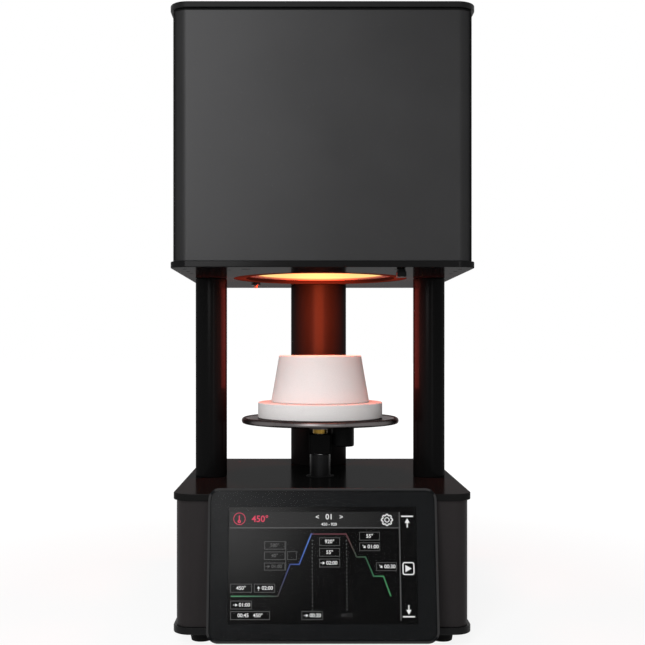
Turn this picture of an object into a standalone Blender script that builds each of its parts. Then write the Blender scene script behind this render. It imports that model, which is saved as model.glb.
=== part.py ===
"""Dental lab furnace: base with lift, three columns, heated head and tilted touch panel.

Metres, +Z up, front towards -Y. The origin is on the ground, midway between the sides and
midway between the foremost and the rearmost point.
"""

import math

import bmesh
import bpy
from mathutils import Matrix, Vector

# Sizes shared by the whole furnace
CLEARANCE = 0.0003
OVERRUN = 0.002
WIDTH = 0.260
CORNER_RADIUS = 0.016
SHEET = 0.002
PLATE_CHAMFER = 0.0006

# Base casing and feet
BASE_SETBACK = 0.020
BASE_PLATE = 0.006
BASE_SHELL_INSET = 0.0027
FOOT_HEIGHT = 0.012
FOOT_TOP_RADIUS = 0.011
FOOT_TIP_RADIUS = 0.009
FOOT_STUD_RADIUS = 0.0025
FOOT_STUD = 0.005
FOOT_RECESS_RADIUS = 0.004
FOOT_RECESS = 0.004
FOOT_FROM_SIDE = 0.023
FOOT_INSET = 0.030
INTAKE_LENGTH = 0.040
INTAKE_WIDTH = 0.003
INTAKE_PITCH = 0.008
INTAKE_FROM_BACK = 0.060

# Head casing
HEAD_HEIGHT = 0.224
HEAD_TOP_PLATE = 0.005
HEAD_BASE_PLATE = 0.0055
HEAD_SHELL_INSET = 0.0022
GASKET_HEIGHT = 0.0012
GASKET_INSET = 0.0045
GASKET_WIDTH = 0.004
POST_RADIUS = 0.005
POST_FROM_SIDE = 0.022
POST_FROM_EDGE = 0.024
SCREW_HOLE_RADIUS = 0.0019
SCREW_FROM_SIDE = 0.011
SCREW_FROM_FRONT = 0.022
SCREW_STEP = 0.0275
FRONT_SCREW_FROM_SIDE = 0.049
FRONT_SCREW_IN = 0.032
FRONT_SLOT_FROM_SIDE = 0.0637
FRONT_SLOT_IN = 0.023
FRONT_SLOT_LENGTH = 0.0075
FRONT_SLOT_WIDTH = 0.004
REAR_SLOT_FROM_SIDE = 0.080
REAR_SLOT_FROM_BACK = 0.012
REAR_SLOT_LENGTH = 0.060
REAR_SLOT_WIDTH = 0.004

# Columns and what runs inside them
COLUMN_HEIGHT = 0.194
COLUMN_RADIUS = 0.01535
COLUMN_BORE_RADIUS = 0.011
COLUMN_FROM_SIDE = 0.023
TIE_ROD_RADIUS = 0.005
TIE_HEAD_RADIUS = 0.008
TIE_HEAD = 0.008
REAR_COLUMN_RADIUS = 0.030
REAR_COLUMN_BORE_RADIUS = 0.026
REAR_COLUMN_TO_BACK = 0.014
DUCT_RADIUS = 0.012

# Lift
AXIS_FROM_HEAD_FRONT = 0.143
PLATE_TO_COLUMN = 0.01465
PLATE_TO_REAR_COLUMN = 0.002
PLATE_THICKNESS = 0.005
PLATE_ABOVE_BASE = 0.0575
PLATE_RIM_ROUND = 0.0016
SEAL_FROM_RIM = 0.0026
SEAL_CORD_RADIUS = 0.0013
SEAL_STANDS_PROUD = 0.0006
BOSS_RADIUS = 0.0108
BOSS_HEIGHT = 0.0061
SPINDLE_RADIUS = 0.005
SPINDLE_SEAT = 0.002
BUSH_RADIUS = 0.007
BUSH_HEIGHT = 0.0043
HUB_WIDTH = 0.0216
HUB_HEIGHT = 0.0192
HUB_CHAMFER = 0.0018
SLEEVE_RADIUS = 0.010
SLEEVE_WALL = 0.0027
SLEEVE_TO_MOTOR = 0.004
SLEEVE_NUT_HEIGHT = 0.008
ROD_BORE_RADIUS = 0.0046
ROD_FOOT_GAP = 0.002
ROD_BORE_RISE = 0.0085
SCREW_RADIUS = 0.004
SCREW_RISE = 0.0035
SCREW_SEAT = 0.012
MOTOR_RADIUS = 0.032
MOTOR_HEIGHT = 0.0237
MOTOR_COLLAR_RADIUS = 0.012
MOTOR_COLLAR = 0.002
GUIDE_FLANGE_RADIUS = 0.030
GUIDE_FLANGE = 0.005
GUIDE_RADIUS = 0.016
GUIDE_LENGTH = 0.042
GUIDE_RIM_RADIUS = 0.0135
GUIDE_STANDS_PROUD = 0.0009
POD_RADIUS = 0.011
POD_HEIGHT = 0.0229
POD_X = 0.0224
POD_ROUND = 0.0015

# Pedestal
PEDESTAL_TO_CHAMBER = 0.0015
PEDESTAL_BASE_HEIGHT = 0.0151
PEDESTAL_ROUND = 0.0012
CONE_STEP = 0.0128
CONE_TAPER = 0.0079
CONE_HEIGHT = 0.0453
PEDESTAL_RIM = 0.0182
PEDESTAL_RELIEF = 0.003

# Chamber
MOUTH_BEYOND_PLATE = 0.0075
FLANGE_WIDTH = 0.0121
FLANGE_OVERLAP = 0.0077
FLANGE_UPPER_HEIGHT = 0.004
COLLAR_STEP_UP = 0.003
COLLAR_UPPER_INSET = 0.0012
COLLAR_UPPER_HEIGHT = 0.0054
COLLAR_WIDTH = 0.0096
MUFFLE_WALL = 0.0033
COIL_WIRE_RADIUS = 0.0016
COIL_TURNS = 5
COIL_PITCH = 0.0156
COIL_START = 0.006
COIL_END_ROOM = 0.0084
COIL_POINTS_PER_TURN = 24
COIL_TAIL = 0.0045
COIL_SLACK = 0.0009
COIL_ROOM = 0.0015
LID_HEIGHT = 0.0374
VESSEL_WALL = 0.003
VESSEL_LIP_REACH = 0.0045
VESSEL_LIP = 0.005
TERMINAL_RADIUS = 0.0025
TERMINAL_FLANGE_RADIUS = 0.006
TERMINAL_FLANGE = 0.003
TERMINAL_TAIL = 0.009
PROBE_RADIUS = 0.003
PROBE_FROM_WALL = 0.009
PROBE_REACH = 0.012
PROBE_HEAD_RADIUS = 0.008
PROBE_HEAD = 0.013

# Small pieces under the head
SENSOR_FROM_SIDE = 0.062
SENSOR_WIDTH = 0.0078
SENSOR_DEPTH = 0.014
SENSOR_DROP = 0.0068
SENSOR_FROM_FRONT = 0.014
SENSOR_NECK_IN = 0.0007
SENSOR_NECK = 0.0022
CLIP_FROM_SIDE = 0.063
CLIP_FROM_BACK = 0.074
CLIP_RADIUS = 0.0048
CLIP_DROP = 0.0016
CLIP_PIN_RADIUS = 0.0023
CLIP_PIN_DROP = 0.0042

# Vacuum parts
PIPE_RADIUS = 0.004
PIPE_BEHIND_COLUMN = 0.012
PIPE_ELBOW_RISE = 0.052
PIPE_BEND_RADIUS = 0.012
PIPE_BEND_STEPS = 6
VALVE_WIDTH = 0.030
VALVE_DEPTH = 0.024
VALVE_HEIGHT = 0.042
VALVE_BEVEL = 0.0015
PORT_Z = 0.045
PORT_REACH = 0.016
PORT_RADIUS = 0.004
PORT_BARB = 0.0009
PORT_BARB_COUNT = 3
PORT_FLANGE_RADIUS = 0.009
PORT_FLANGE = 0.003
PORT_BORE_RADIUS = 0.002

# Electrics in the base
SUPPLY_TO_MOTOR = 0.013
SUPPLY_TO_WALL = 0.0103
SUPPLY_DEPTH = 0.120
SUPPLY_HEIGHT = 0.045
SUPPLY_FROM_FRONT = 0.095
SUPPLY_BEVEL = 0.001
BOARD_TO_MOTOR = 0.0085
BOARD_TO_WALL = 0.0098
BOARD_DEPTH = 0.120
BOARD_THICKNESS = 0.0016
BOARD_STANDOFF = 0.008
BOARD_STANDOFF_WIDTH = 0.006
CHIP_WIDTH = 0.018
CHIP_HEIGHT = 0.003
RELAY_GAP = 0.00275
RELAY_HEIGHT = 0.014
FAN_WIDTH = 0.060
FAN_DEPTH = 0.015
FAN_BORE_RADIUS = 0.028
FAN_HUB_RADIUS = 0.011
FAN_HUB_BACK = 0.003
FAN_ARM_WIDTH = 0.004
FAN_FROM_SIDE = 0.060
FAN_Z = 0.072
FAN_BLADES = 7
FAN_BLADE_THICKNESS = 0.0012
FAN_BLADE_TIP_GAP = 0.0012
FAN_BLADE_ANGLE = 35.0
FAN_SHAFT_RADIUS = 0.0015
GRILLE_SLOTS = 7
GRILLE_PITCH = 0.007
GRILLE_SLOT_WIDTH = 0.0035
GRILLE_HEIGHT = 0.046
INLET_FROM_SIDE = 0.045
INLET_Z = 0.066
INLET_FLANGE_WIDTH = 0.036
INLET_FLANGE_HEIGHT = 0.058
INLET_FLANGE = 0.0025
INLET_BODY_WIDTH = 0.031
INLET_BODY_HEIGHT = 0.053
INLET_BODY_DEPTH = 0.022
SOCKET_WIDTH = 0.0244
SOCKET_HEIGHT = 0.0164
SOCKET_DEPTH = 0.016
SOCKET_BELOW_MIDDLE = 0.0145
CONTACT_WIDTH = 0.002
CONTACT_HEIGHT = 0.004
CONTACT_LENGTH = 0.011
CONTACT_PITCH = 0.007
CONTACT_RISE = 0.002
ROCKER_WIDTH = 0.0138
ROCKER_HEIGHT = 0.0184
ROCKER_ABOVE_MIDDLE = 0.0125
ROCKER_ROOM = 0.0009
ROCKER_PIVOT_DEPTH = 0.003
ROCKER_BACK_DEPTH = 0.0065
ROCKER_STANDS_PROUD = 0.0022
ROCKER_TILT = 9.0
ROCKER_PIN_RADIUS = 0.0012
ROCKER_PIN = 0.0025
DATA_FROM_SIDE = 0.087
DATA_Z = 0.095
DATA_WIDTH = 0.0145
DATA_HEIGHT = 0.0075
DATA_DEPTH = 0.012
DATA_WALL = 0.0011
DATA_FLANGE_MARGIN = 0.004
DATA_FLANGE = 0.0015

# Touch panel, in its own tilted frame: X across, Y into the panel, Z up its slope
PANEL_TILT = 10.5
PANEL_WIDTH = 0.1955
PANEL_HEIGHT = 0.1288
PANEL_CORNER_RADIUS = 0.010
PANEL_THICKNESS = 0.004
PANEL_BEVEL = 0.002
PANEL_BEVEL_DEPTH = 0.0009
PANEL_TO_BASE = 0.001543
PANEL_FOOT_Z = 0.0127
PANEL_ABOVE_BASE = 0.005843
GLASS_LIP = 0.0007
GLASS_THICKNESS = 0.0012
SCREEN_WIDTH = 0.157
SCREEN_TO_EDGE = 0.0174
SCREEN_MARGIN = 0.0015
MODULE_MARGIN = 0.001
MODULE_BACK = 0.0022
COVER_WIDTH = 0.180
COVER_WALL = 0.0016
COVER_EDGE_GAP = 0.0006
COVER_FOOT_GAP = 0.0015
MOUNT_Z = 0.060
MOUNT_TUBE_RADIUS = 0.010
MOUNT_BORE_RADIUS = 0.007
MOUNT_FLANGE_RADIUS = 0.024
MOUNT_FLANGE = 0.003
MOUNT_GRIP = 0.003

# Facets
LARGE_ROUND = 56
CHAMBER_ROUND = 48
MIDDLE_ROUND = 36
SMALL_ROUND = 20
TINY_ROUND = 10
CORNER_STEPS = 5
RIM_STEPS = 4
SEAL_SIDES = 6
SMOOTH_ANGLE = 32.0

# Places across and radii, worked out from the sides inwards
half_width = WIDTH / 2
inner_side = half_width - BASE_SHELL_INSET - SHEET
foot_x = half_width - FOOT_FROM_SIDE
column_x = half_width - COLUMN_FROM_SIDE
post_x = half_width - POST_FROM_SIDE
screw_line_x = half_width - SCREW_FROM_SIDE
front_screw_x = half_width - FRONT_SCREW_FROM_SIDE
front_slot_x = half_width - FRONT_SLOT_FROM_SIDE
rear_slot_x = half_width - REAR_SLOT_FROM_SIDE
sensor_x = half_width - SENSOR_FROM_SIDE
clip_x = CLIP_FROM_SIDE - half_width
fan_x = FAN_FROM_SIDE - half_width
inlet_x = half_width - INLET_FROM_SIDE
data_x = half_width - DATA_FROM_SIDE
supply_low = MOTOR_RADIUS + SUPPLY_TO_MOTOR
supply_high = inner_side - SUPPLY_TO_WALL
board_low = MOTOR_RADIUS + BOARD_TO_MOTOR
board_high = inner_side - BOARD_TO_WALL
board_width = board_high - board_low
relay_pitch = board_width / 4
relay_width = relay_pitch - RELAY_GAP
plate_radius = column_x - COLUMN_RADIUS - PLATE_TO_COLUMN
seal_ring_radius = plate_radius - SEAL_FROM_RIM
mouth_radius = plate_radius + MOUTH_BEYOND_PLATE
flange_inner_radius = mouth_radius - FLANGE_WIDTH
flange_upper_radius = mouth_radius + FLANGE_OVERLAP
spigot_radius = flange_inner_radius - CLEARANCE
chamber_radius = spigot_radius - COLLAR_WIDTH
pedestal_radius = chamber_radius - PEDESTAL_TO_CHAMBER
cone_foot_radius = pedestal_radius - CONE_STEP
cone_top_radius = cone_foot_radius - CONE_TAPER
relief_radius = cone_foot_radius - PEDESTAL_RIM
muffle_radius = chamber_radius + MUFFLE_WALL
coil_radius = muffle_radius + COIL_SLACK + COIL_WIRE_RADIUS
insulation_inner = coil_radius + COIL_WIRE_RADIUS + COIL_ROOM
insulation_outer = flange_upper_radius - COLLAR_UPPER_INSET
vessel_inner = flange_upper_radius + CLEARANCE
vessel_outer = vessel_inner + VESSEL_WALL
vessel_lip_radius = vessel_outer + VESSEL_LIP_REACH
probe_offset = chamber_radius - PROBE_FROM_WALL
rod_radius = SLEEVE_RADIUS - SLEEVE_WALL - CLEARANCE
screw_hole_radius = SCREW_RADIUS + CLEARANCE
spindle_hole_radius = SPINDLE_RADIUS + CLEARANCE

# Heights, from the ground up
tilt = math.radians(PANEL_TILT)
screen_height = PANEL_HEIGHT - 2 * SCREEN_TO_EDGE
base_low = FOOT_HEIGHT
base_floor = base_low + BASE_PLATE
base_top = PANEL_FOOT_Z + PANEL_HEIGHT * math.cos(tilt) - PANEL_ABOVE_BASE
base_ceiling = base_top - BASE_PLATE
sleeve_foot = base_floor + CLEARANCE + MOTOR_HEIGHT + SLEEVE_TO_MOTOR
screw_top = base_top + SCREW_RISE
rod_bore_top = base_top + ROD_BORE_RISE
plate_top = base_top + PLATE_ABOVE_BASE
plate_low = plate_top - PLATE_THICKNESS
boss_low = plate_low - BOSS_HEIGHT
bush_low = boss_low - CLEARANCE - BUSH_HEIGHT
hub_low = bush_low - CLEARANCE - HUB_HEIGHT
rod_shoulder = hub_low - CLEARANCE
sleeve_top = rod_shoulder - CLEARANCE
head_underside = base_top + COLUMN_HEIGHT
head_floor = head_underside + HEAD_BASE_PLATE
head_top = head_underside + HEAD_HEIGHT
head_ceiling = head_top - HEAD_TOP_PLATE
flange_top = head_floor + CLEARANCE + FLANGE_UPPER_HEIGHT
collar_low = head_underside + COLLAR_STEP_UP
collar_ledge = flange_top + CLEARANCE
collar_top = collar_ledge + COLLAR_UPPER_HEIGHT
muffle_low = collar_top + CLEARANCE
coil_low = muffle_low + COIL_START
coil_high = coil_low + COIL_TURNS * COIL_PITCH
muffle_top = coil_high + COIL_END_ROOM
lid_low = muffle_top + CLEARANCE
lid_top = lid_low + LID_HEIGHT
vessel_top = lid_top + CLEARANCE + VESSEL_WALL
pipe_elbow_z = head_floor + PIPE_ELBOW_RISE

# Places along, from the front to the back
rear_column_behind = plate_radius + PLATE_TO_REAR_COLUMN + REAR_COLUMN_RADIUS
axis_to_back = rear_column_behind + REAR_COLUMN_RADIUS + REAR_COLUMN_TO_BACK
head_depth = AXIS_FROM_HEAD_FRONT + axis_to_back
base_depth = head_depth - BASE_SETBACK
panel_lean = (base_top - PANEL_FOOT_Z) * math.tan(tilt)
panel_reach = panel_lean + PANEL_THICKNESS / math.cos(tilt) + PANEL_TO_BASE
foremost = BASE_SETBACK - panel_reach + PANEL_BEVEL * math.sin(tilt)
rearmost = BASE_SETBACK + base_depth - BASE_SHELL_INSET + PORT_REACH
head_front = -(foremost + rearmost) / 2
head_back = head_front + head_depth
head_middle = (head_front + head_back) / 2
axis_y = head_front + AXIS_FROM_HEAD_FRONT
rear_column_y = axis_y + rear_column_behind
pipe_y = rear_column_y + PIPE_BEHIND_COLUMN
base_front = head_front + BASE_SETBACK
base_back = base_front + base_depth
base_middle = (base_front + base_back) / 2
shell_front_y = base_front + BASE_SHELL_INSET
shell_back_y = base_back - BASE_SHELL_INSET

# Colour, roughness and metallic value of each finish
FINISHES = {
    "satin_casing": ((0.075, 0.075, 0.078), 0.45, 0.6),
    "black_plate": ((0.02, 0.02, 0.022), 0.35, 0.5),
    "gloss_black": ((0.012, 0.012, 0.013), 0.12, 0.2),
    "gunmetal": ((0.13, 0.13, 0.14), 0.3, 1.0),
    "steel": ((0.55, 0.55, 0.56), 0.3, 1.0),
    "brass": ((0.72, 0.5, 0.2), 0.3, 1.0),
    "fibre": ((0.88, 0.86, 0.83), 0.9, 0.0),
    "quartz": ((0.9, 0.75, 0.5), 0.15, 0.0),
    "element": ((0.9, 0.4, 0.1), 0.5, 0.8),
    "rubber": ((0.015, 0.015, 0.015), 0.8, 0.0),
    "dark_plastic": ((0.03, 0.03, 0.032), 0.5, 0.0),
    "panel_glass": ((0.01, 0.012, 0.014), 0.08, 0.0),
    "board": ((0.02, 0.12, 0.06), 0.5, 0.0),
}


def rounded_outline(width, depth, radius, steps=CORNER_STEPS):
    """Return the points of a rounded rectangle centred on zero."""
    points = []
    corners = ((1, 1, 0), (-1, 1, 90), (-1, -1, 180), (1, -1, 270))
    for side_a, side_b, start in corners:
        for step in range(steps + 1):
            angle = math.radians(start + 90 * step / steps)
            across = side_a * (width / 2 - radius) + radius * math.cos(angle)
            along = side_b * (depth / 2 - radius) + radius * math.sin(angle)
            points.append((across, along))
    return points


def square_outline(width, depth):
    """Return the four corners of a rectangle centred on zero."""
    half_a = width / 2
    half_b = depth / 2
    return [(half_a, half_b), (-half_a, half_b), (-half_a, -half_b), (half_a, -half_b)]


def round_outline(radius, segments):
    """Return the points of a circle centred on zero."""
    angles = [2 * math.pi * step / segments for step in range(segments)]
    return [(radius * math.cos(angle), radius * math.sin(angle)) for angle in angles]


def in_space(point, height, along):
    """Turn an outline's point and a height along an axis into a place."""
    a, b = point
    if along == "Z":
        return Vector((a, b, height))
    if along == "Y":
        return Vector((a, height, b))
    return Vector((height, a, b))


def stack(layers, along="Z", shift=(0, 0, 0)):
    """Return a closed solid through outlines, each given with its height along an axis."""
    shape = bmesh.new()
    rings = []
    for outline, height in layers:
        ring = [shape.verts.new(in_space(point, height, along)) for point in outline]
        rings.append(ring)
    for low, high in zip(rings, rings[1:]):
        for index, corner in enumerate(low):
            following = (index + 1) % len(low)
            shape.faces.new((corner, low[following], high[following], high[index]))
    shape.faces.new(rings[0])
    shape.faces.new(rings[-1])
    bmesh.ops.recalc_face_normals(shape, faces=shape.faces)
    bmesh.ops.translate(shape, vec=Vector(shift), verts=shape.verts)
    return shape


def prism(outline, low, high, along="Z", shift=(0, 0, 0)):
    """Return an outline carried straight from one height to another."""
    return stack([(outline, low), (outline, high)], along, shift)


def block(width, depth, height, shift=(0, 0, 0)):
    """Return a box that stands on zero, centred across and along."""
    return prism(square_outline(width, depth), 0, height, "Z", shift)


def soft_block(width, depth, height, bevel, shift=(0, 0, 0)):
    """Return a box that stands on zero, with all its edges bevelled."""
    shape = block(width, depth, height, shift)
    bmesh.ops.bevel(shape, geom=shape.edges[:], offset=bevel, segments=1, affect="EDGES")
    return shape


def chamfered(width, depth, radius, thickness, chamfer):
    """Return a rounded plate whose two flat faces have a small chamfer."""
    edge = rounded_outline(width, depth, radius)
    face = rounded_outline(width - 2 * chamfer, depth - 2 * chamfer, radius - chamfer)
    return stack([(face, 0), (edge, chamfer), (edge, thickness - chamfer), (face, thickness)])


def turned(profile, segments, along="Z", shift=(0, 0, 0), closed=True):
    """Spin a profile of radius and height points; an open one runs from pole to pole."""
    shape = bmesh.new()
    points = [shape.verts.new((radius, 0, height)) for radius, height in profile]
    edges = [shape.edges.new(pair) for pair in zip(points, points[1:])]
    if closed:
        edges.append(shape.edges.new((points[-1], points[0])))
    bmesh.ops.spin(
        shape, geom=points + edges, cent=(0, 0, 0), axis=(0, 0, 1), angle=2 * math.pi,
        steps=segments, use_merge=True,
    )
    bmesh.ops.remove_doubles(shape, verts=shape.verts, dist=CLEARANCE / 100)
    bmesh.ops.recalc_face_normals(shape, faces=shape.faces)
    if along == "Y":
        shape.transform(Matrix.Rotation(-math.pi / 2, 4, "X"))
    if along == "X":
        shape.transform(Matrix.Rotation(math.pi / 2, 4, "Y"))
    bmesh.ops.translate(shape, vec=Vector(shift), verts=shape.verts)
    return shape


def cylinder(radius, low, high, segments, along="Z", shift=(0, 0, 0)):
    """Return a plain cylinder, mostly used as a drill."""
    return prism(round_outline(radius, segments), low, high, along, shift)


def tube(inner, outer, low, high):
    """Return the closed profile of a plain tube."""
    return [(inner, low), (outer, low), (outer, high), (inner, high)]


def make_finish(node, finish):
    """Return the node's own material, from the table of finishes."""
    colour, roughness, metallic = FINISHES[finish]
    material = bpy.data.materials.new(node)
    material.use_nodes = True
    shader = material.node_tree.nodes["Principled BSDF"]
    shader.inputs["Base Color"].default_value = (*colour, 1)
    shader.inputs["Roughness"].default_value = roughness
    shader.inputs["Metallic"].default_value = metallic
    material.diffuse_color = (*colour, 1)
    return material


def link(name, data, place, carrier):
    """Put a new object in the scene, at a place relative to its carrier."""
    thing = bpy.data.objects.new(name, data)
    bpy.context.scene.collection.objects.link(thing)
    thing.parent = carrier
    thing.location = place
    return thing


def combine(node, shape, operation, number):
    """Add a Boolean to a node; its tool is hidden and rides on the node."""
    mesh = bpy.data.meshes.new(f"{node.name}_tool_{number}")
    shape.to_mesh(mesh)
    shape.free()
    tool = link(mesh.name, mesh, (0, 0, 0), node)
    tool.hide_render = True
    tool.display_type = "WIRE"
    modifier = node.modifiers.new(f"{operation.lower()}_{number}", "BOOLEAN")
    modifier.operation = operation
    modifier.solver = "EXACT"
    modifier.object = tool


def add_node(name, shape, finish, place=(0, 0, 0), carrier=None, joins=(), cuts=()):
    """Make one sub-part, join further solids to it and then cut its holes."""
    mesh = bpy.data.meshes.new(name)
    shape.to_mesh(mesh)
    shape.free()
    mesh.materials.append(make_finish(name, finish))
    mesh.shade_smooth()
    mesh.set_sharp_from_angle(angle=math.radians(SMOOTH_ANGLE))
    node = link(name, mesh, place, carrier)
    for number, extra in enumerate(joins):
        combine(node, extra, "UNION", number)
    for number, hole in enumerate(cuts):
        combine(node, hole, "DIFFERENCE", number + len(joins))
    return node


def add_curve(name, points, radius, resolution, finish, place=(0, 0, 0)):
    """Make a round wire or pipe through points."""
    curve = bpy.data.curves.new(name, "CURVE")
    curve.dimensions = "3D"
    curve.bevel_depth = radius
    curve.bevel_resolution = resolution
    curve.use_fill_caps = True
    line = curve.splines.new("POLY")
    line.points.add(len(points) - 1)
    for spot, point in zip(line.points, points):
        spot.co = (*point, 1)
    curve.materials.append(make_finish(name, finish))
    return link(name, curve, place, None)


def add_empty(name, place, turn=0.0):
    """Make the carrier of a moving body or of a tilted assembly."""
    empty = link(name, None, place, None)
    empty.rotation_euler.x = turn
    return empty


def mirrored(offset):
    """Return a place across the furnace and its mirror image."""
    return (-offset, offset)


def add_feet():
    """Four tapered rubber feet, each with a stud in the bottom plate."""
    profile = [
        (FOOT_RECESS_RADIUS, 0),
        (FOOT_TIP_RADIUS, 0),
        (FOOT_TOP_RADIUS, FOOT_HEIGHT - CLEARANCE),
        (FOOT_STUD_RADIUS, FOOT_HEIGHT - CLEARANCE),
        (FOOT_STUD_RADIUS, FOOT_HEIGHT + FOOT_STUD),
        (0, FOOT_HEIGHT + FOOT_STUD),
    ]
    profile = [(0, FOOT_RECESS), (FOOT_RECESS_RADIUS, FOOT_RECESS)] + profile
    rows = (("front", base_front + FOOT_INSET), ("rear", base_back - FOOT_INSET))
    for row, y in rows:
        for side, x in zip(("left", "right"), mirrored(foot_x)):
            shape = turned(profile, SMALL_ROUND, closed=False)
            add_node(f"foot_{row}_{side}", shape, "rubber", (x, y, 0))


def add_base_casing():
    """Bottom plate, wrapped shell and top plate of the base."""
    low_cut = -OVERRUN
    high_cut = BASE_PLATE + OVERRUN
    holes = []
    for y in (base_front + FOOT_INSET, base_back - FOOT_INSET):
        for x in mirrored(foot_x):
            shift = (x, y - base_middle, 0)
            radius = FOOT_STUD_RADIUS + CLEARANCE
            holes.append(cylinder(radius, low_cut, high_cut, TINY_ROUND, "Z", shift))
    for number in (-1, 0, 1):
        y = base_back - INTAKE_FROM_BACK + number * INTAKE_PITCH - base_middle
        slot = square_outline(INTAKE_LENGTH, INTAKE_WIDTH)
        holes.append(prism(slot, low_cut, high_cut, "Z", (fan_x, y, 0)))
    plate = chamfered(WIDTH, base_depth, CORNER_RADIUS, BASE_PLATE, PLATE_CHAMFER)
    place = (0, base_middle, base_low)
    add_node("base_bottom_plate", plate, "black_plate", place, cuts=holes)

    inset = BASE_SHELL_INSET
    low = base_floor + CLEARANCE
    height = base_ceiling - CLEARANCE - low
    outer = rounded_outline(WIDTH - 2 * inset, base_depth - 2 * inset, CORNER_RADIUS - inset)
    wall = inset + SHEET
    inner = rounded_outline(WIDTH - 2 * wall, base_depth - 2 * wall, CORNER_RADIUS - wall)
    front_wall = shell_front_y - base_middle
    back_wall = shell_back_y - base_middle
    through = (-SHEET - OVERRUN, OVERRUN)
    holes = [prism(inner, -OVERRUN, height + OVERRUN)]
    mount_hole = MOUNT_TUBE_RADIUS + CLEARANCE
    mount_shift = (0, front_wall, MOUNT_Z - low)
    holes.append(cylinder(mount_hole, -OVERRUN, SHEET + OVERRUN, SMALL_ROUND, "Y", mount_shift))
    inlet = square_outline(INLET_BODY_WIDTH + 2 * CLEARANCE, INLET_BODY_HEIGHT + 2 * CLEARANCE)
    holes.append(prism(inlet, *through, "Y", (inlet_x, back_wall, INLET_Z - low)))
    data = square_outline(DATA_WIDTH + 2 * CLEARANCE, DATA_HEIGHT + 2 * CLEARANCE)
    holes.append(prism(data, *through, "Y", (data_x, back_wall, DATA_Z - low)))
    port = PORT_RADIUS + CLEARANCE
    holes.append(cylinder(port, *through, SMALL_ROUND, "Y", (0, back_wall, PORT_Z - low)))
    for number in range(GRILLE_SLOTS):
        x = fan_x + (number - (GRILLE_SLOTS - 1) / 2) * GRILLE_PITCH
        slot = square_outline(GRILLE_SLOT_WIDTH, GRILLE_HEIGHT)
        holes.append(prism(slot, *through, "Y", (x, back_wall, FAN_Z - low)))
    place = (0, base_middle, low)
    add_node("base_shell", prism(outer, 0, height), "satin_casing", place, cuts=holes)

    holes = []
    for x in mirrored(column_x):
        shift = (x, axis_y - base_middle, 0)
        radius = TIE_ROD_RADIUS + CLEARANCE
        holes.append(cylinder(radius, low_cut, high_cut, SMALL_ROUND, "Z", shift))
    shift = (0, pipe_y - base_middle, 0)
    holes.append(cylinder(DUCT_RADIUS, low_cut, high_cut, SMALL_ROUND, "Z", shift))
    shift = (0, axis_y - base_middle, 0)
    radius = GUIDE_RIM_RADIUS + CLEARANCE
    holes.append(cylinder(radius, low_cut, high_cut, SMALL_ROUND, "Z", shift))
    plate = chamfered(WIDTH, base_depth, CORNER_RADIUS, BASE_PLATE, PLATE_CHAMFER)
    place = (0, base_middle, base_ceiling)
    add_node("base_top_plate", plate, "gloss_black", place, cuts=holes)


def add_columns():
    """Two front columns with tie rods inside, and the wide rear column."""
    low = base_top + CLEARANCE
    height = head_underside - CLEARANCE - low
    rod_low = base_ceiling - CLEARANCE - TIE_HEAD
    rod_profile = [
        (0, 0),
        (TIE_HEAD_RADIUS, 0),
        (TIE_HEAD_RADIUS, TIE_HEAD),
        (TIE_ROD_RADIUS, TIE_HEAD),
        (TIE_ROD_RADIUS, head_floor - rod_low),
        (0, head_floor - rod_low),
    ]
    for side, x in zip(("left", "right"), mirrored(column_x)):
        profile = tube(COLUMN_BORE_RADIUS, COLUMN_RADIUS, 0, height)
        shape = turned(profile, MIDDLE_ROUND)
        add_node(f"column_{side}", shape, "gloss_black", (x, axis_y, low))
        shape = turned(rod_profile, SMALL_ROUND, closed=False)
        add_node(f"tie_rod_{side}", shape, "steel", (x, axis_y, rod_low))
    profile = tube(REAR_COLUMN_BORE_RADIUS, REAR_COLUMN_RADIUS, 0, height)
    shape = turned(profile, LARGE_ROUND)
    add_node("column_rear", shape, "gloss_black", (0, rear_column_y, low))


def add_lift_drive():
    """Guide under the top plate, and the motor that turns the lift screw."""
    bore = SLEEVE_RADIUS + CLEARANCE
    flange_low = base_ceiling - CLEARANCE - GUIDE_FLANGE
    flange_high = flange_low + GUIDE_FLANGE
    tube_low = flange_high - GUIDE_LENGTH
    profile = [
        (bore, tube_low),
        (GUIDE_RADIUS, tube_low),
        (GUIDE_RADIUS, flange_low),
        (GUIDE_FLANGE_RADIUS, flange_low),
        (GUIDE_FLANGE_RADIUS, flange_high),
        (GUIDE_RIM_RADIUS, flange_high),
        (GUIDE_RIM_RADIUS, base_top + GUIDE_STANDS_PROUD),
        (bore, base_top + GUIDE_STANDS_PROUD),
    ]
    add_node("lift_guide", turned(profile, SMALL_ROUND), "gunmetal", (0, axis_y, 0))

    top = MOTOR_HEIGHT - MOTOR_COLLAR
    seat = MOTOR_HEIGHT - SCREW_SEAT
    bore = screw_hole_radius
    profile = [
        (0, 0),
        (MOTOR_RADIUS, 0),
        (MOTOR_RADIUS, top),
        (MOTOR_COLLAR_RADIUS, top),
        (MOTOR_COLLAR_RADIUS, MOTOR_HEIGHT),
        (bore, MOTOR_HEIGHT),
        (bore, seat),
        (0, seat),
    ]
    place = (0, axis_y, base_floor + CLEARANCE)
    add_node("lift_motor", turned(profile, MIDDLE_ROUND, closed=False), "gunmetal", place)


def add_lift_screw():
    """The screw stands in the motor and turns as the lift travels."""
    foot = base_floor + MOTOR_HEIGHT - SCREW_SEAT + 2 * CLEARANCE
    carrier = add_empty("screw_axis", (0, axis_y, foot))
    profile = [(0, 0), (SCREW_RADIUS, 0), (SCREW_RADIUS, screw_top - foot), (0, screw_top - foot)]
    shape = turned(profile, SMALL_ROUND, closed=False)
    add_node("lift_screw", shape, "steel", (0, 0, 0), carrier)


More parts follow.
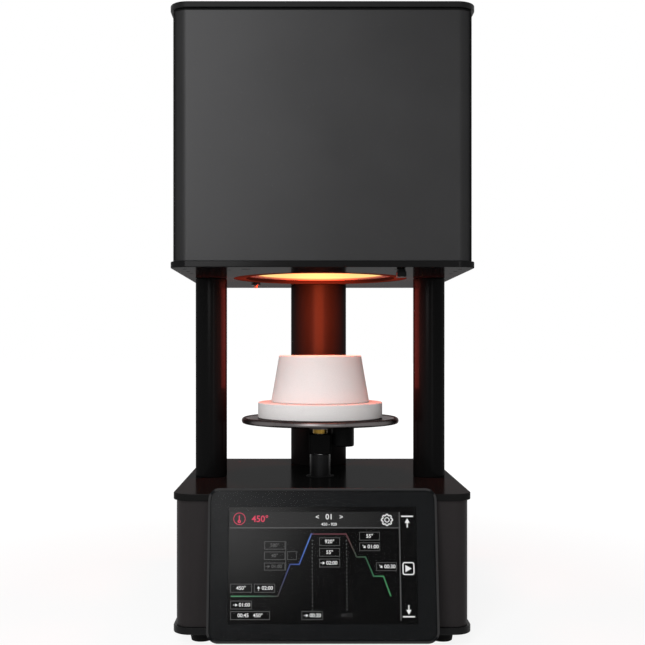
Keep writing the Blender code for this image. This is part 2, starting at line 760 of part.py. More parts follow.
def add_lift_sleeve():
    """First stage of the lift, which moves half as far as the plate."""
    carrier = add_empty("sleeve_axis", (0, axis_y, sleeve_foot))
    height = sleeve_top - sleeve_foot
    bore = SLEEVE_RADIUS - SLEEVE_WALL
    profile = [
        (screw_hole_radius, 0),
        (SLEEVE_RADIUS, 0),
        (SLEEVE_RADIUS, height),
        (bore, height),
        (bore, SLEEVE_NUT_HEIGHT),
        (screw_hole_radius, SLEEVE_NUT_HEIGHT),
    ]
    add_node("lift_sleeve", turned(profile, SMALL_ROUND), "steel", (0, 0, 0), carrier)


def add_platform():
    """Second stage of the lift with the hub, the firing plate and its seal."""
    carrier = add_empty("platform_axis", (0, axis_y, plate_top))
    foot = sleeve_foot + SLEEVE_NUT_HEIGHT + ROD_FOOT_GAP - plate_top
    shoulder = rod_shoulder - plate_top
    bore_top = rod_bore_top - plate_top
    tip = plate_low + SPINDLE_SEAT - plate_top
    profile = [
        (0, bore_top),
        (ROD_BORE_RADIUS, bore_top),
        (ROD_BORE_RADIUS, foot),
        (rod_radius, foot),
        (rod_radius, shoulder),
        (SPINDLE_RADIUS, shoulder),
        (SPINDLE_RADIUS, tip),
        (0, tip),
    ]
    shape = turned(profile, SMALL_ROUND, closed=False)
    add_node("lift_rod", shape, "steel", (0, 0, 0), carrier)

    half = HUB_WIDTH / 2
    chamfer = HUB_CHAMFER
    outline = [
        (half, half - chamfer), (half - chamfer, half), (chamfer - half, half),
        (-half, half - chamfer), (-half, chamfer - half), (chamfer - half, -half),
        (half - chamfer, -half), (half, chamfer - half),
    ]
    hole = cylinder(spindle_hole_radius, -OVERRUN, HUB_HEIGHT + OVERRUN, SMALL_ROUND)
    place = (0, 0, hub_low - plate_top)
    add_node("hub_block", prism(outline, 0, HUB_HEIGHT), "gloss_black", place, carrier, cuts=[hole])

    profile = tube(spindle_hole_radius, BUSH_RADIUS, 0, BUSH_HEIGHT)
    place = (0, 0, bush_low - plate_top)
    add_node("brass_bush", turned(profile, SMALL_ROUND), "brass", place, carrier)

    groove_inner = seal_ring_radius - SEAL_CORD_RADIUS - CLEARANCE
    groove_outer = seal_ring_radius + SEAL_CORD_RADIUS + CLEARANCE
    groove_floor = SEAL_STANDS_PROUD - 2 * SEAL_CORD_RADIUS - CLEARANCE
    rounded = PLATE_RIM_ROUND
    seat = tip + CLEARANCE
    rim = []
    for step in range(RIM_STEPS + 1):
        angle = math.pi * (step / RIM_STEPS - 1 / 2)
        height = -PLATE_THICKNESS / 2 + (PLATE_THICKNESS / 2) * math.sin(angle)
        rim.append((plate_radius - rounded + rounded * math.cos(angle), height))
    profile = [
        (0, seat),
        (spindle_hole_radius, seat),
        (spindle_hole_radius, boss_low - plate_top),
        (BOSS_RADIUS, boss_low - plate_top),
        (BOSS_RADIUS, -PLATE_THICKNESS),
        *rim,
        (groove_outer, 0),
        (groove_outer, groove_floor),
        (groove_inner, groove_floor),
        (groove_inner, 0),
        (0, 0),
    ]
    shape = turned(profile, LARGE_ROUND, closed=False)
    add_node("firing_plate", shape, "gunmetal", (0, 0, 0), carrier)

    profile = []
    for radius, height in round_outline(SEAL_CORD_RADIUS, SEAL_SIDES):
        profile.append((seal_ring_radius + radius, height))
    place = (0, 0, SEAL_STANDS_PROUD - SEAL_CORD_RADIUS)
    add_node("plate_seal", turned(profile, LARGE_ROUND), "rubber", place, carrier)

    low = -PLATE_THICKNESS - CLEARANCE - POD_HEIGHT
    profile = [
        (0, 0),
        (POD_RADIUS - POD_ROUND, 0),
        (POD_RADIUS, POD_ROUND),
        (POD_RADIUS, POD_HEIGHT),
        (0, POD_HEIGHT),
    ]
    shape = turned(profile, SMALL_ROUND, closed=False)
    add_node("switch_pod", shape, "dark_plastic", (POD_X, 0, low), carrier)


def add_pedestal():
    """White firing pedestal, a disc and a cone, which lift off the plate."""
    carrier = add_empty("pedestal_axis", (0, axis_y, plate_top))
    high = PEDESTAL_BASE_HEIGHT
    rounded = PEDESTAL_ROUND
    profile = [
        (0, PEDESTAL_RELIEF),
        (relief_radius, PEDESTAL_RELIEF),
        (relief_radius, 0),
        (pedestal_radius - rounded, 0),
        (pedestal_radius, rounded),
        (pedestal_radius, high - rounded),
        (pedestal_radius - rounded, high),
        (0, high),
    ]
    shape = turned(profile, LARGE_ROUND, closed=False)
    add_node("pedestal_base", shape, "fibre", (0, 0, CLEARANCE), carrier)

    profile = [
        (0, PEDESTAL_RELIEF),
        (relief_radius, PEDESTAL_RELIEF),
        (relief_radius, 0),
        (cone_foot_radius, 0),
        (cone_top_radius, CONE_HEIGHT - rounded),
        (cone_top_radius - rounded, CONE_HEIGHT),
        (0, CONE_HEIGHT),
    ]
    shape = turned(profile, LARGE_ROUND, closed=False)
    place = (0, 0, PEDESTAL_BASE_HEIGHT + 2 * CLEARANCE)
    add_node("pedestal_cone", shape, "fibre", place, carrier)


def head_plate_holes():
    """Return the drills for the head's base plate, in the plate's own frame."""
    low = -OVERRUN
    high = HEAD_BASE_PLATE + OVERRUN
    axis = axis_y - head_middle
    holes = [cylinder(mouth_radius + CLEARANCE, low, high, LARGE_ROUND, "Z", (0, axis, 0))]
    duct_shift = (0, pipe_y - head_middle, 0)
    holes.append(cylinder(DUCT_RADIUS, low, high, SMALL_ROUND, "Z", duct_shift))
    front = -head_depth / 2
    screw_rows = [front + SCREW_FROM_FRONT + step * SCREW_STEP for step in range(3)]
    screw_rows += [-y for y in screw_rows]
    for x in mirrored(column_x):
        radius = TIE_ROD_RADIUS + CLEARANCE
        holes.append(cylinder(radius, low, high, SMALL_ROUND, "Z", (x, axis, 0)))
    for x in mirrored(screw_line_x):
        for y in screw_rows:
            holes.append(cylinder(SCREW_HOLE_RADIUS, low, high, TINY_ROUND, "Z", (x, y, 0)))
    for x in mirrored(front_screw_x):
        shift = (x, front + FRONT_SCREW_IN, 0)
        holes.append(cylinder(SCREW_HOLE_RADIUS, low, high, TINY_ROUND, "Z", shift))
    for x in mirrored(front_slot_x):
        slot = square_outline(FRONT_SLOT_LENGTH, FRONT_SLOT_WIDTH)
        holes.append(prism(slot, low, high, "Z", (x, front + FRONT_SLOT_IN, 0)))
    for x in mirrored(rear_slot_x):
        slot = square_outline(REAR_SLOT_LENGTH, REAR_SLOT_WIDTH)
        holes.append(prism(slot, low, high, "Z", (x, -front - REAR_SLOT_FROM_BACK, 0)))
    return holes


def add_head_casing():
    """Base plate, posts, wrapped shell, gasket and top plate of the head."""
    radius = CORNER_RADIUS
    plate = chamfered(WIDTH, head_depth, radius, HEAD_BASE_PLATE, PLATE_CHAMFER)
    place = (0, head_middle, head_underside)
    add_node("head_base_plate", plate, "black_plate", place, cuts=head_plate_holes())

    gasket_low = head_ceiling - CLEARANCE - GASKET_HEIGHT
    shell_low = head_floor + CLEARANCE
    shell_height = gasket_low - CLEARANCE - shell_low
    inset = HEAD_SHELL_INSET
    outer = rounded_outline(WIDTH - 2 * inset, head_depth - 2 * inset, radius - inset)
    wall = inset + SHEET
    inner = rounded_outline(WIDTH - 2 * wall, head_depth - 2 * wall, radius - wall)
    hollow = prism(inner, -OVERRUN, shell_height + OVERRUN)
    place = (0, head_middle, shell_low)
    shape = prism(outer, 0, shell_height)
    add_node("head_shell", shape, "satin_casing", place, cuts=[hollow])

    inset = GASKET_INSET - GASKET_WIDTH / 2
    outer = rounded_outline(WIDTH - 2 * inset, head_depth - 2 * inset, radius - inset)
    wall = inset + GASKET_WIDTH
    inner = rounded_outline(WIDTH - 2 * wall, head_depth - 2 * wall, radius - wall)
    hollow = prism(inner, -OVERRUN, GASKET_HEIGHT + OVERRUN)
    place = (0, head_middle, gasket_low)
    shape = prism(outer, 0, GASKET_HEIGHT)
    add_node("top_gasket", shape, "rubber", place, cuts=[hollow])

    plate = chamfered(WIDTH, head_depth, radius, HEAD_TOP_PLATE, PLATE_CHAMFER)
    add_node("head_top_plate", plate, "black_plate", (0, head_middle, head_ceiling))

    height = head_ceiling - head_floor - 2 * CLEARANCE
    profile = [(0, 0), (POST_RADIUS, 0), (POST_RADIUS, height), (0, height)]
    rows = (("front", head_front + POST_FROM_EDGE), ("rear", head_back - POST_FROM_EDGE))
    for row, y in rows:
        for side, x in zip(("left", "right"), mirrored(post_x)):
            shape = turned(profile, TINY_ROUND, closed=False)
            add_node(f"head_post_{row}_{side}", shape, "steel", (x, y, shell_low))


def add_chamber():
    """Firing chamber: mouth ring, collar, muffle, element, insulation and vessel."""
    place = (0, axis_y, 0)
    profile = [
        (flange_inner_radius, head_underside),
        (mouth_radius, head_underside),
        (mouth_radius, head_floor + CLEARANCE),
        (flange_upper_radius, head_floor + CLEARANCE),
        (flange_upper_radius, flange_top),
        (flange_inner_radius, flange_top),
    ]
    add_node("seal_flange", turned(profile, CHAMBER_ROUND), "steel", place)

    profile = [
        (chamber_radius, collar_low),
        (spigot_radius, collar_low),
        (spigot_radius, collar_ledge),
        (insulation_outer, collar_ledge),
        (insulation_outer, collar_top),
        (chamber_radius, collar_top),
    ]
    add_node("chamber_collar", turned(profile, CHAMBER_ROUND), "fibre", place)

    profile = tube(chamber_radius, muffle_radius, muffle_low, muffle_top)
    add_node("muffle", turned(profile, CHAMBER_ROUND), "quartz", place)

    drill = (vessel_inner - OVERRUN, vessel_outer + OVERRUN)
    inner_drill = (insulation_inner - OVERRUN, insulation_outer + OVERRUN)
    pin_hole = TERMINAL_RADIUS + CLEARANCE
    ring_holes = []
    vessel_holes = []
    for z in (coil_low, coil_high):
        ring_holes.append(cylinder(pin_hole, *inner_drill, TINY_ROUND, "Y", (0, 0, z)))
        vessel_holes.append(cylinder(pin_hole, *drill, TINY_ROUND, "Y", (0, 0, z)))
    pipe_hole = PIPE_RADIUS + CLEARANCE
    shift = (0, 0, pipe_elbow_z)
    vessel_holes.append(cylinder(pipe_hole, *drill, TINY_ROUND, "Y", shift))
    probe_hole = PROBE_RADIUS + CLEARANCE
    shift = (0, probe_offset, 0)
    roof = (lid_top, vessel_top + OVERRUN)
    vessel_holes.append(cylinder(probe_hole, *roof, TINY_ROUND, "Z", shift))

    profile = tube(insulation_inner, insulation_outer, muffle_low, muffle_top)
    shape = turned(profile, CHAMBER_ROUND)
    add_node("insulation_ring", shape, "fibre", place, cuts=ring_holes)

    lid_hole = cylinder(probe_hole, lid_low - OVERRUN, lid_top + OVERRUN, TINY_ROUND, "Z", shift)
    profile = [
        (0, lid_low), (insulation_outer, lid_low), (insulation_outer, lid_top), (0, lid_top),
    ]
    shape = turned(profile, CHAMBER_ROUND, closed=False)
    add_node("insulation_lid", shape, "fibre", place, cuts=[lid_hole])

    low = head_floor + CLEARANCE
    profile = [
        (0, lid_top + CLEARANCE),
        (vessel_inner, lid_top + CLEARANCE),
        (vessel_inner, low),
        (vessel_lip_radius, low),
        (vessel_lip_radius, low + VESSEL_LIP),
        (vessel_outer, low + VESSEL_LIP),
        (vessel_outer, vessel_top),
        (0, vessel_top),
    ]
    shape = turned(profile, CHAMBER_ROUND, closed=False)
    add_node("chamber_vessel", shape, "steel", place, cuts=vessel_holes)

    low = muffle_top - PROBE_REACH
    seat = vessel_top + CLEARANCE
    profile = [
        (0, low),
        (PROBE_RADIUS, low),
        (PROBE_RADIUS, seat),
        (PROBE_HEAD_RADIUS, seat),
        (PROBE_HEAD_RADIUS, seat + PROBE_HEAD),
        (0, seat + PROBE_HEAD),
    ]
    shape = turned(profile, TINY_ROUND, closed=False)
    add_node("thermocouple", shape, "fibre", (0, axis_y + probe_offset, 0))


def coil_points():
    """Return the helix of the element, with a straight tail out at each end."""
    points = [(0, coil_radius + COIL_TAIL, coil_low)]
    for step in range(COIL_TURNS * COIL_POINTS_PER_TURN + 1):
        turn = step / COIL_POINTS_PER_TURN
        angle = math.pi / 2 + 2 * math.pi * turn
        across = coil_radius * math.cos(angle)
        along = coil_radius * math.sin(angle)
        points.append((across, along, coil_low + turn * COIL_PITCH))
    points.append((0, coil_radius + COIL_TAIL, coil_high))
    return points


def least_gap(points, radius, apart):
    """Return the least gap of a wound wire to itself, between points far apart along it."""
    gap = math.inf
    for first in range(len(points)):
        for second in range(first + apart, len(points)):
            distance = (Vector(points[first]) - Vector(points[second])).length
            gap = min(gap, distance - 2 * radius)
    return gap


def add_element():
    """Heating coil round the muffle, and the two terminals that feed it."""
    points = coil_points()
    add_curve("heating_coil", points, COIL_WIRE_RADIUS, 1, "element", (0, axis_y, 0))
    gap = least_gap(points, COIL_WIRE_RADIUS, COIL_POINTS_PER_TURN // 2)
    print(f"heating_coil least gap to itself: {gap:.5f} m")

    tip = coil_radius + COIL_TAIL + CLEARANCE
    seat = vessel_outer + CLEARANCE
    profile = [
        (0, tip),
        (TERMINAL_RADIUS, tip),
        (TERMINAL_RADIUS, seat),
        (TERMINAL_FLANGE_RADIUS, seat),
        (TERMINAL_FLANGE_RADIUS, seat + TERMINAL_FLANGE),
        (TERMINAL_RADIUS, seat + TERMINAL_FLANGE),
        (TERMINAL_RADIUS, seat + TERMINAL_FLANGE + TERMINAL_TAIL),
        (0, seat + TERMINAL_FLANGE + TERMINAL_TAIL),
    ]
    for level, z in (("lower", coil_low), ("upper", coil_high)):
        shape = turned(profile, TINY_ROUND, "Y", closed=False)
        add_node(f"terminal_{level}", shape, "steel", (0, axis_y, z))


def add_under_head():
    """Sensor block and locating clip that hang under the head."""
    neck_width = SENSOR_WIDTH - 2 * SENSOR_NECK_IN
    neck_depth = SENSOR_DEPTH - 2 * SENSOR_NECK_IN
    neck = square_outline(neck_width, neck_depth)
    body = square_outline(SENSOR_WIDTH, SENSOR_DEPTH)
    shoulder = SENSOR_DROP - SENSOR_NECK
    shape = stack([(body, 0), (body, shoulder), (neck, shoulder), (neck, SENSOR_DROP)])
    y = head_front + SENSOR_FROM_FRONT + SENSOR_DEPTH / 2
    place = (sensor_x, y, head_underside - CLEARANCE - SENSOR_DROP)
    add_node("sensor_block", shape, "dark_plastic", place)

    profile = [
        (0, -CLIP_PIN_DROP),
        (CLIP_PIN_RADIUS, -CLIP_PIN_DROP),
        (CLIP_PIN_RADIUS, -CLIP_DROP),
        (CLIP_RADIUS, -CLIP_DROP),
        (CLIP_RADIUS, 0),
        (0, 0),
    ]
    shape = turned(profile, SMALL_ROUND, closed=False)
    y = head_back - CLIP_FROM_BACK
    add_node("locating_clip", shape, "steel", (clip_x, y, head_underside - CLEARANCE))


def add_vacuum_parts():
    """Valve in the base, port through the rear wall and pipe up the rear column."""
    floor = base_floor + CLEARANCE
    shape = soft_block(VALVE_WIDTH, VALVE_DEPTH, VALVE_HEIGHT, VALVE_BEVEL)
    add_node("vacuum_valve", shape, "gunmetal", (0, pipe_y, floor))

    valve_back = pipe_y + VALVE_DEPTH / 2 + CLEARANCE
    wall = shell_back_y + CLEARANCE
    tip = shell_back_y + PORT_REACH
    barb_length = (tip - wall - PORT_FLANGE) / PORT_BARB_COUNT
    profile = [
        (PORT_BORE_RADIUS, valve_back),
        (PORT_RADIUS, valve_back),
        (PORT_RADIUS, wall),
        (PORT_FLANGE_RADIUS, wall),
        (PORT_FLANGE_RADIUS, wall + PORT_FLANGE),
    ]
    for number in range(PORT_BARB_COUNT):
        start = wall + PORT_FLANGE + number * barb_length
        profile.append((PORT_RADIUS + PORT_BARB, start))
        profile.append((PORT_RADIUS, start + barb_length))
    profile.append((PORT_BORE_RADIUS, tip))
    add_node("vacuum_port", turned(profile, TINY_ROUND, "Y"), "steel", (0, 0, PORT_Z))

    low = floor + VALVE_HEIGHT + CLEARANCE
    points = []
    straight = pipe_elbow_z - PIPE_BEND_RADIUS - low
    for step in range(3):
        points.append((0, 0, low + straight * step / 3))
    for step in range(PIPE_BEND_STEPS + 1):
        angle = math.pi / 2 * step / PIPE_BEND_STEPS
        y = -PIPE_BEND_RADIUS * (1 - math.cos(angle))
        z = pipe_elbow_z - PIPE_BEND_RADIUS * (1 - math.sin(angle))
        points.append((0, y, z))
    points.append((0, axis_y + vessel_inner + CLEARANCE - pipe_y, pipe_elbow_z))
    add_curve("vacuum_line", points, PIPE_RADIUS, 3, "steel", (0, pipe_y, 0))


def add_electrics():
    """Power supply and control board inside the base."""
    floor = base_floor + CLEARANCE
    y = base_front + SUPPLY_FROM_FRONT
    shape = soft_block(supply_high - supply_low, SUPPLY_DEPTH, SUPPLY_HEIGHT, SUPPLY_BEVEL)
    place = ((supply_low + supply_high) / 2, y, floor)
    add_node("power_supply", shape, "steel", place)

    board = block(board_width, BOARD_DEPTH, BOARD_THICKNESS, (0, 0, BOARD_STANDOFF))
    half = BOARD_STANDOFF_WIDTH / 2
    joins = []
    for side in (-1, 1):
        for end in (-1, 1):
            shift = (side * (board_width / 2 - half), end * (BOARD_DEPTH / 2 - half), 0)
            height = BOARD_STANDOFF + BOARD_THICKNESS / 2
            joins.append(block(BOARD_STANDOFF_WIDTH, BOARD_STANDOFF_WIDTH, height, shift))
    seat = BOARD_STANDOFF + BOARD_THICKNESS / 2
    rise = BOARD_THICKNESS / 2
    joins.append(block(CHIP_WIDTH, CHIP_WIDTH, rise + CHIP_HEIGHT, (0, 0, seat)))
    for number in (-1, 0, 1):
        shift = (number * relay_pitch, BOARD_DEPTH / 4, seat)
        joins.append(block(relay_width, relay_width, rise + RELAY_HEIGHT, shift))
    place = (-(board_low + board_high) / 2, y, floor)
    add_node("control_board", board, "board", place, joins=joins)


def add_fan():
    """Cooling fan behind the grille of the rear wall."""
    back = shell_back_y - SHEET - CLEARANCE
    front = back - FAN_DEPTH
    frame = prism(rounded_outline(FAN_WIDTH, FAN_WIDTH, FAN_ARM_WIDTH), 0, FAN_DEPTH, "Y")
    bore = cylinder(FAN_BORE_RADIUS, -OVERRUN, FAN_DEPTH + OVERRUN, MIDDLE_ROUND, "Y")
    frame_node = add_node("fan_frame", frame, "dark_plastic", (fan_x, front, FAN_Z), cuts=[bore])
    arm = square_outline(FAN_ARM_WIDTH, 2 * FAN_BORE_RADIUS + FAN_ARM_WIDTH)
    combine(frame_node, prism(arm, 0, FAN_HUB_BACK, "Y"), "UNION", 1)
    hub = cylinder(FAN_HUB_RADIUS, 0, FAN_HUB_BACK, SMALL_ROUND, "Y")
    combine(frame_node, hub, "UNION", 2)
    shaft_hole = FAN_SHAFT_RADIUS + CLEARANCE
    shaft = cylinder(shaft_hole, -OVERRUN, FAN_HUB_BACK + OVERRUN, TINY_ROUND, "Y")
    combine(frame_node, shaft, "DIFFERENCE", 3)

    carrier = add_empty("fan_axis", (fan_x, front, FAN_Z))
    low = FAN_HUB_BACK + CLEARANCE
    high = FAN_DEPTH - CLEARANCE
    profile = [
        (0, 0),
        (FAN_SHAFT_RADIUS, 0),
        (FAN_SHAFT_RADIUS, low),
        (FAN_HUB_RADIUS, low),
        (FAN_HUB_RADIUS, high),
        (0, high),
    ]
    hub = turned(profile, SMALL_ROUND, "Y", closed=False)
    tip = FAN_BORE_RADIUS - FAN_BLADE_TIP_GAP
    root = FAN_HUB_RADIUS / 2
    chord = (high - low) / math.cos(math.radians(FAN_BLADE_ANGLE)) - 3 * FAN_BLADE_THICKNESS
    middle = (low + high) / 2
    joins = []
    for number in range(FAN_BLADES):
        blade = block(FAN_BLADE_THICKNESS, chord, tip - root, (0, 0, root))
        blade.transform(Matrix.Rotation(math.radians(FAN_BLADE_ANGLE), 4, "Z"))
        bmesh.ops.translate(blade, vec=(0, middle, 0), verts=blade.verts)
        blade.transform(Matrix.Rotation(2 * math.pi * number / FAN_BLADES, 4, "Y"))
        joins.append(blade)
    add_node("fan_rotor", hub, "dark_plastic", (0, 0, 0), carrier, joins=joins)


def add_inlet():
    """Mains inlet with its contacts, and the rocker switch above them."""
    wall = shell_back_y + CLEARANCE
    flange = square_outline(INLET_FLANGE_WIDTH, INLET_FLANGE_HEIGHT)
    body = square_outline(INLET_BODY_WIDTH, INLET_BODY_HEIGHT)
    inner = -INLET_BODY_DEPTH
    shape = stack([(body, inner), (body, 0), (flange, 0), (flange, INLET_FLANGE)], "Y")
    socket = square_outline(SOCKET_WIDTH, SOCKET_HEIGHT)
    mouth = INLET_FLANGE + OVERRUN
    floor = INLET_FLANGE - SOCKET_DEPTH
    low = -SOCKET_BELOW_MIDDLE
    cut = prism(socket, floor, mouth, "Y", (0, 0, low))
    node = add_node("power_inlet", shape, "dark_plastic", (inlet_x, wall, INLET_Z), cuts=[cut])
    contact = square_outline(CONTACT_WIDTH, CONTACT_HEIGHT)
    number = 1
    for step, rise in ((-1, 0), (0, CONTACT_RISE), (1, 0)):
        shift = (step * CONTACT_PITCH, 0, low + rise)
        pin = prism(contact, floor - OVERRUN, floor + CONTACT_LENGTH, "Y", shift)
        combine(node, pin, "UNION", number)
        number += 1
    window = square_outline(ROCKER_WIDTH + 2 * CLEARANCE, ROCKER_HEIGHT + 2 * ROCKER_ROOM)
    pivot = INLET_FLANGE - ROCKER_PIVOT_DEPTH
    well = pivot - ROCKER_BACK_DEPTH - OVERRUN
    combine(node, prism(window, well, mouth, "Y", (0, 0, ROCKER_ABOVE_MIDDLE)), "DIFFERENCE", number)
    reach = ROCKER_WIDTH / 2 + ROCKER_PIN + CLEARANCE
    pin_hole = ROCKER_PIN_RADIUS + CLEARANCE
    shift = (0, pivot, ROCKER_ABOVE_MIDDLE)
    drill = cylinder(pin_hole, -reach, reach, TINY_ROUND, "X", shift)
    combine(node, drill, "DIFFERENCE", number + 1)

    place = (inlet_x, wall + pivot, INLET_Z + ROCKER_ABOVE_MIDDLE)
    carrier = add_empty("switch_axis", place, math.radians(ROCKER_TILT))
    half = ROCKER_HEIGHT / 2
    face = ROCKER_PIVOT_DEPTH
    proud = face + ROCKER_STANDS_PROUD
    outline = [
        (-ROCKER_BACK_DEPTH, 0),
        (face - ROCKER_PIVOT_DEPTH, half),
        (proud, half),
        (face, 0),
        (proud, -half),
        (face - ROCKER_PIVOT_DEPTH, -half),
    ]
    shape = prism(outline, -ROCKER_WIDTH / 2, ROCKER_WIDTH / 2, "X")
    pin = reach - 2 * CLEARANCE
    pins = cylinder(ROCKER_PIN_RADIUS, -pin, pin, TINY_ROUND, "X")
    add_node("main_switch", shape, "dark_plastic", (0, 0, 0), carrier, joins=[pins])


def add_data_socket():
    """Data socket in the rear wall."""
    wall = shell_back_y + CLEARANCE
    margin = DATA_FLANGE_MARGIN
    flange = square_outline(DATA_WIDTH + margin, DATA_HEIGHT + margin)
    body = square_outline(DATA_WIDTH, DATA_HEIGHT)
    shape = stack([(body, -DATA_DEPTH), (body, 0), (flange, 0), (flange, DATA_FLANGE)], "Y")
    mouth = square_outline(DATA_WIDTH - 2 * DATA_WALL, DATA_HEIGHT - 2 * DATA_WALL)
    cut = prism(mouth, DATA_WALL - DATA_DEPTH, DATA_FLANGE + OVERRUN, "Y")
    add_node("data_socket", shape, "steel", (data_x, wall, DATA_Z), cuts=[cut])


def add_panel():
    """Tilted touch panel: bezel, glass and display module."""
    front = base_front - panel_reach
    carrier = add_empty("panel_frame", (0, front, PANEL_FOOT_Z), -tilt)
    middle = (0, 0, PANEL_HEIGHT / 2)
    radius = PANEL_CORNER_RADIUS
    face_width = PANEL_WIDTH - 2 * PANEL_BEVEL
    face_height = PANEL_HEIGHT - 2 * PANEL_BEVEL
    face_radius = radius - PANEL_BEVEL
    face = rounded_outline(face_width, face_height, face_radius)
    edge = rounded_outline(PANEL_WIDTH, PANEL_HEIGHT, radius)
    shape = stack([(face, 0), (edge, PANEL_BEVEL_DEPTH), (edge, PANEL_THICKNESS)], "Y")
    glass_width = face_width - 2 * GLASS_LIP
    glass_height = face_height - 2 * GLASS_LIP
    glass_radius = face_radius - GLASS_LIP
    room = 2 * CLEARANCE
    pocket = rounded_outline(glass_width + room, glass_height + room, glass_radius + CLEARANCE)
    pocket_floor = GLASS_THICKNESS + CLEARANCE
    window_width = SCREEN_WIDTH + 2 * SCREEN_MARGIN
    window_height = screen_height + 2 * SCREEN_MARGIN
    window = square_outline(window_width, window_height)
    cuts = [
        prism(pocket, -OVERRUN, pocket_floor, "Y"),
        prism(window, 0, PANEL_THICKNESS + OVERRUN, "Y"),
    ]
    add_node("panel_bezel", shape, "gloss_black", middle, carrier, cuts=cuts)

    glass = rounded_outline(glass_width, glass_height, glass_radius)
    shape = prism(glass, 0, GLASS_THICKNESS, "Y")
    add_node("panel_glass", shape, "panel_glass", middle, carrier)

    screen = square_outline(window_width - room, window_height - room)
    margin = 2 * MODULE_MARGIN
    back = square_outline(window_width + margin, window_height + margin)
    shoulder = PANEL_THICKNESS + CLEARANCE
    layers = [
        (screen, pocket_floor), (screen, shoulder), (back, shoulder), (back, shoulder + MODULE_BACK),
    ]
    add_node("display_module", stack(layers, "Y"), "panel_glass", middle, carrier)


def slope_y(z, depth):
    """Return where a plane at a depth behind the panel's front face meets a height."""
    front = base_front - panel_reach
    return front + (z - PANEL_FOOT_Z) * math.tan(tilt) + depth / math.cos(tilt)


def add_panel_housing():
    """Wedge housing behind the panel, and the sleeve that holds it to the base."""
    depth = PANEL_THICKNESS + CLEARANCE
    low = base_floor + COVER_FOOT_GAP
    high = base_ceiling - COVER_EDGE_GAP
    rear = shell_front_y - CLEARANCE
    outline = [(slope_y(low, depth), low), (rear, low), (rear, high), (slope_y(high, depth), high)]
    half = COVER_WIDTH / 2
    low_in = low + COVER_WALL
    high_in = high - COVER_WALL
    rear_in = rear - COVER_WALL
    hollow = [
        (slope_y(low_in, -OVERRUN), low_in), (rear_in, low_in),
        (rear_in, high_in), (slope_y(high_in, -OVERRUN), high_in),
    ]
    half_in = half - COVER_WALL
    hole_radius = MOUNT_TUBE_RADIUS + CLEARANCE
    shift = (0, rear, MOUNT_Z)
    hole = cylinder(hole_radius, -COVER_WALL - OVERRUN, OVERRUN, SMALL_ROUND, "Y", shift)
    cuts = [prism(hollow, -half_in, half_in, "X"), hole]
    shape = prism(outline, -half, half, "X")
    add_node("panel_back_cover", shape, "dark_plastic", cuts=cuts)

    seat = shell_front_y + SHEET + CLEARANCE
    tip = rear_in - MOUNT_GRIP
    profile = [
        (MOUNT_BORE_RADIUS, tip),
        (MOUNT_TUBE_RADIUS, tip),
        (MOUNT_TUBE_RADIUS, seat),
        (MOUNT_FLANGE_RADIUS, seat),
        (MOUNT_FLANGE_RADIUS, seat + MOUNT_FLANGE),
        (MOUNT_BORE_RADIUS, seat + MOUNT_FLANGE),
    ]
    shape = turned(profile, SMALL_ROUND, "Y")
    add_node("panel_mount_sleeve", shape, "steel", (0, 0, MOUNT_Z))


def main():
    """Build the whole furnace."""
    for thing in list(bpy.data.objects):
        bpy.data.objects.remove(thing)
    add_feet()
    add_base_casing()
    add_columns()
    add_lift_drive()
    add_lift_screw()
    add_lift_sleeve()
    add_platform()
    add_pedestal()
    add_head_casing()
    add_chamber()
    add_element()
    add_under_head()
    add_vacuum_parts()
    add_electrics()
    add_fan()
    add_inlet()
    add_data_socket()
    add_panel()
    add_panel_housing()


main()
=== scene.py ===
"""Looks of the dental lab furnace: its detailed pieces, their finishes, the studio and the camera."""

import logging
import math
from contextlib import contextmanager
from dataclasses import dataclass
from enum import Enum
from typing import Callable, Iterator, Sequence

import bmesh
import bpy
from mathutils import Euler, Matrix, Vector


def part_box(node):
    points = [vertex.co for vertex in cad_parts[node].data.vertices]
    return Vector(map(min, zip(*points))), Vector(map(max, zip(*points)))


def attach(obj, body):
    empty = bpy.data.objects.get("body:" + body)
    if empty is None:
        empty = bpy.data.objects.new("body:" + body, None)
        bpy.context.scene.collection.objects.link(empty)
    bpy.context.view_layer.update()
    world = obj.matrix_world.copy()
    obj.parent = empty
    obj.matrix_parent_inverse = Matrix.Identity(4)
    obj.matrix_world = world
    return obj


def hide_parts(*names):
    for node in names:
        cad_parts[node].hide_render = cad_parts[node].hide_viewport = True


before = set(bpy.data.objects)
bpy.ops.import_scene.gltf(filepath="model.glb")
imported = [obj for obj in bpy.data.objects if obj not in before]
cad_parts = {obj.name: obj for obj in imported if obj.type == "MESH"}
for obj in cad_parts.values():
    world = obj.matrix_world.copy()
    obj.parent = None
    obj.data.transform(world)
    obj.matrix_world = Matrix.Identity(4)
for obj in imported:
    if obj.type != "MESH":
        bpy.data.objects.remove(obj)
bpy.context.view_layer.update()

LOG = logging.getLogger("furnace")
MM = 0.001
TINY = 1e-6
STRAIGHT = 0.99
SHARP = 35.0

# Lengths that several sub-assemblies share: how far a cutter reaches past what it cuts, the
# clearance between pieces, the plates' corners and rims, the casings' wall, and how far the
# mouth of the chamber reaches beyond the firing plate
OVERRUN = MM
ROOM = 0.3 * MM
CORNER = 16.0 * MM
RIM = 0.6 * MM
SHEET = 2.0 * MM
MOUTH_REACH = 7.5 * MM

Piece = bpy.types.Object
Material = bpy.types.Material
Socket = bpy.types.NodeSocket
Colour = tuple[float, float, float]
Outline = Sequence[tuple[float, float]]


class Body(Enum):
    """The bodies of the frame that new pieces ride on."""

    FURNACE = "furnace"
    SLEEVE = "sleeve"
    PLATFORM = "platform"
    PEDESTAL = "pedestal"


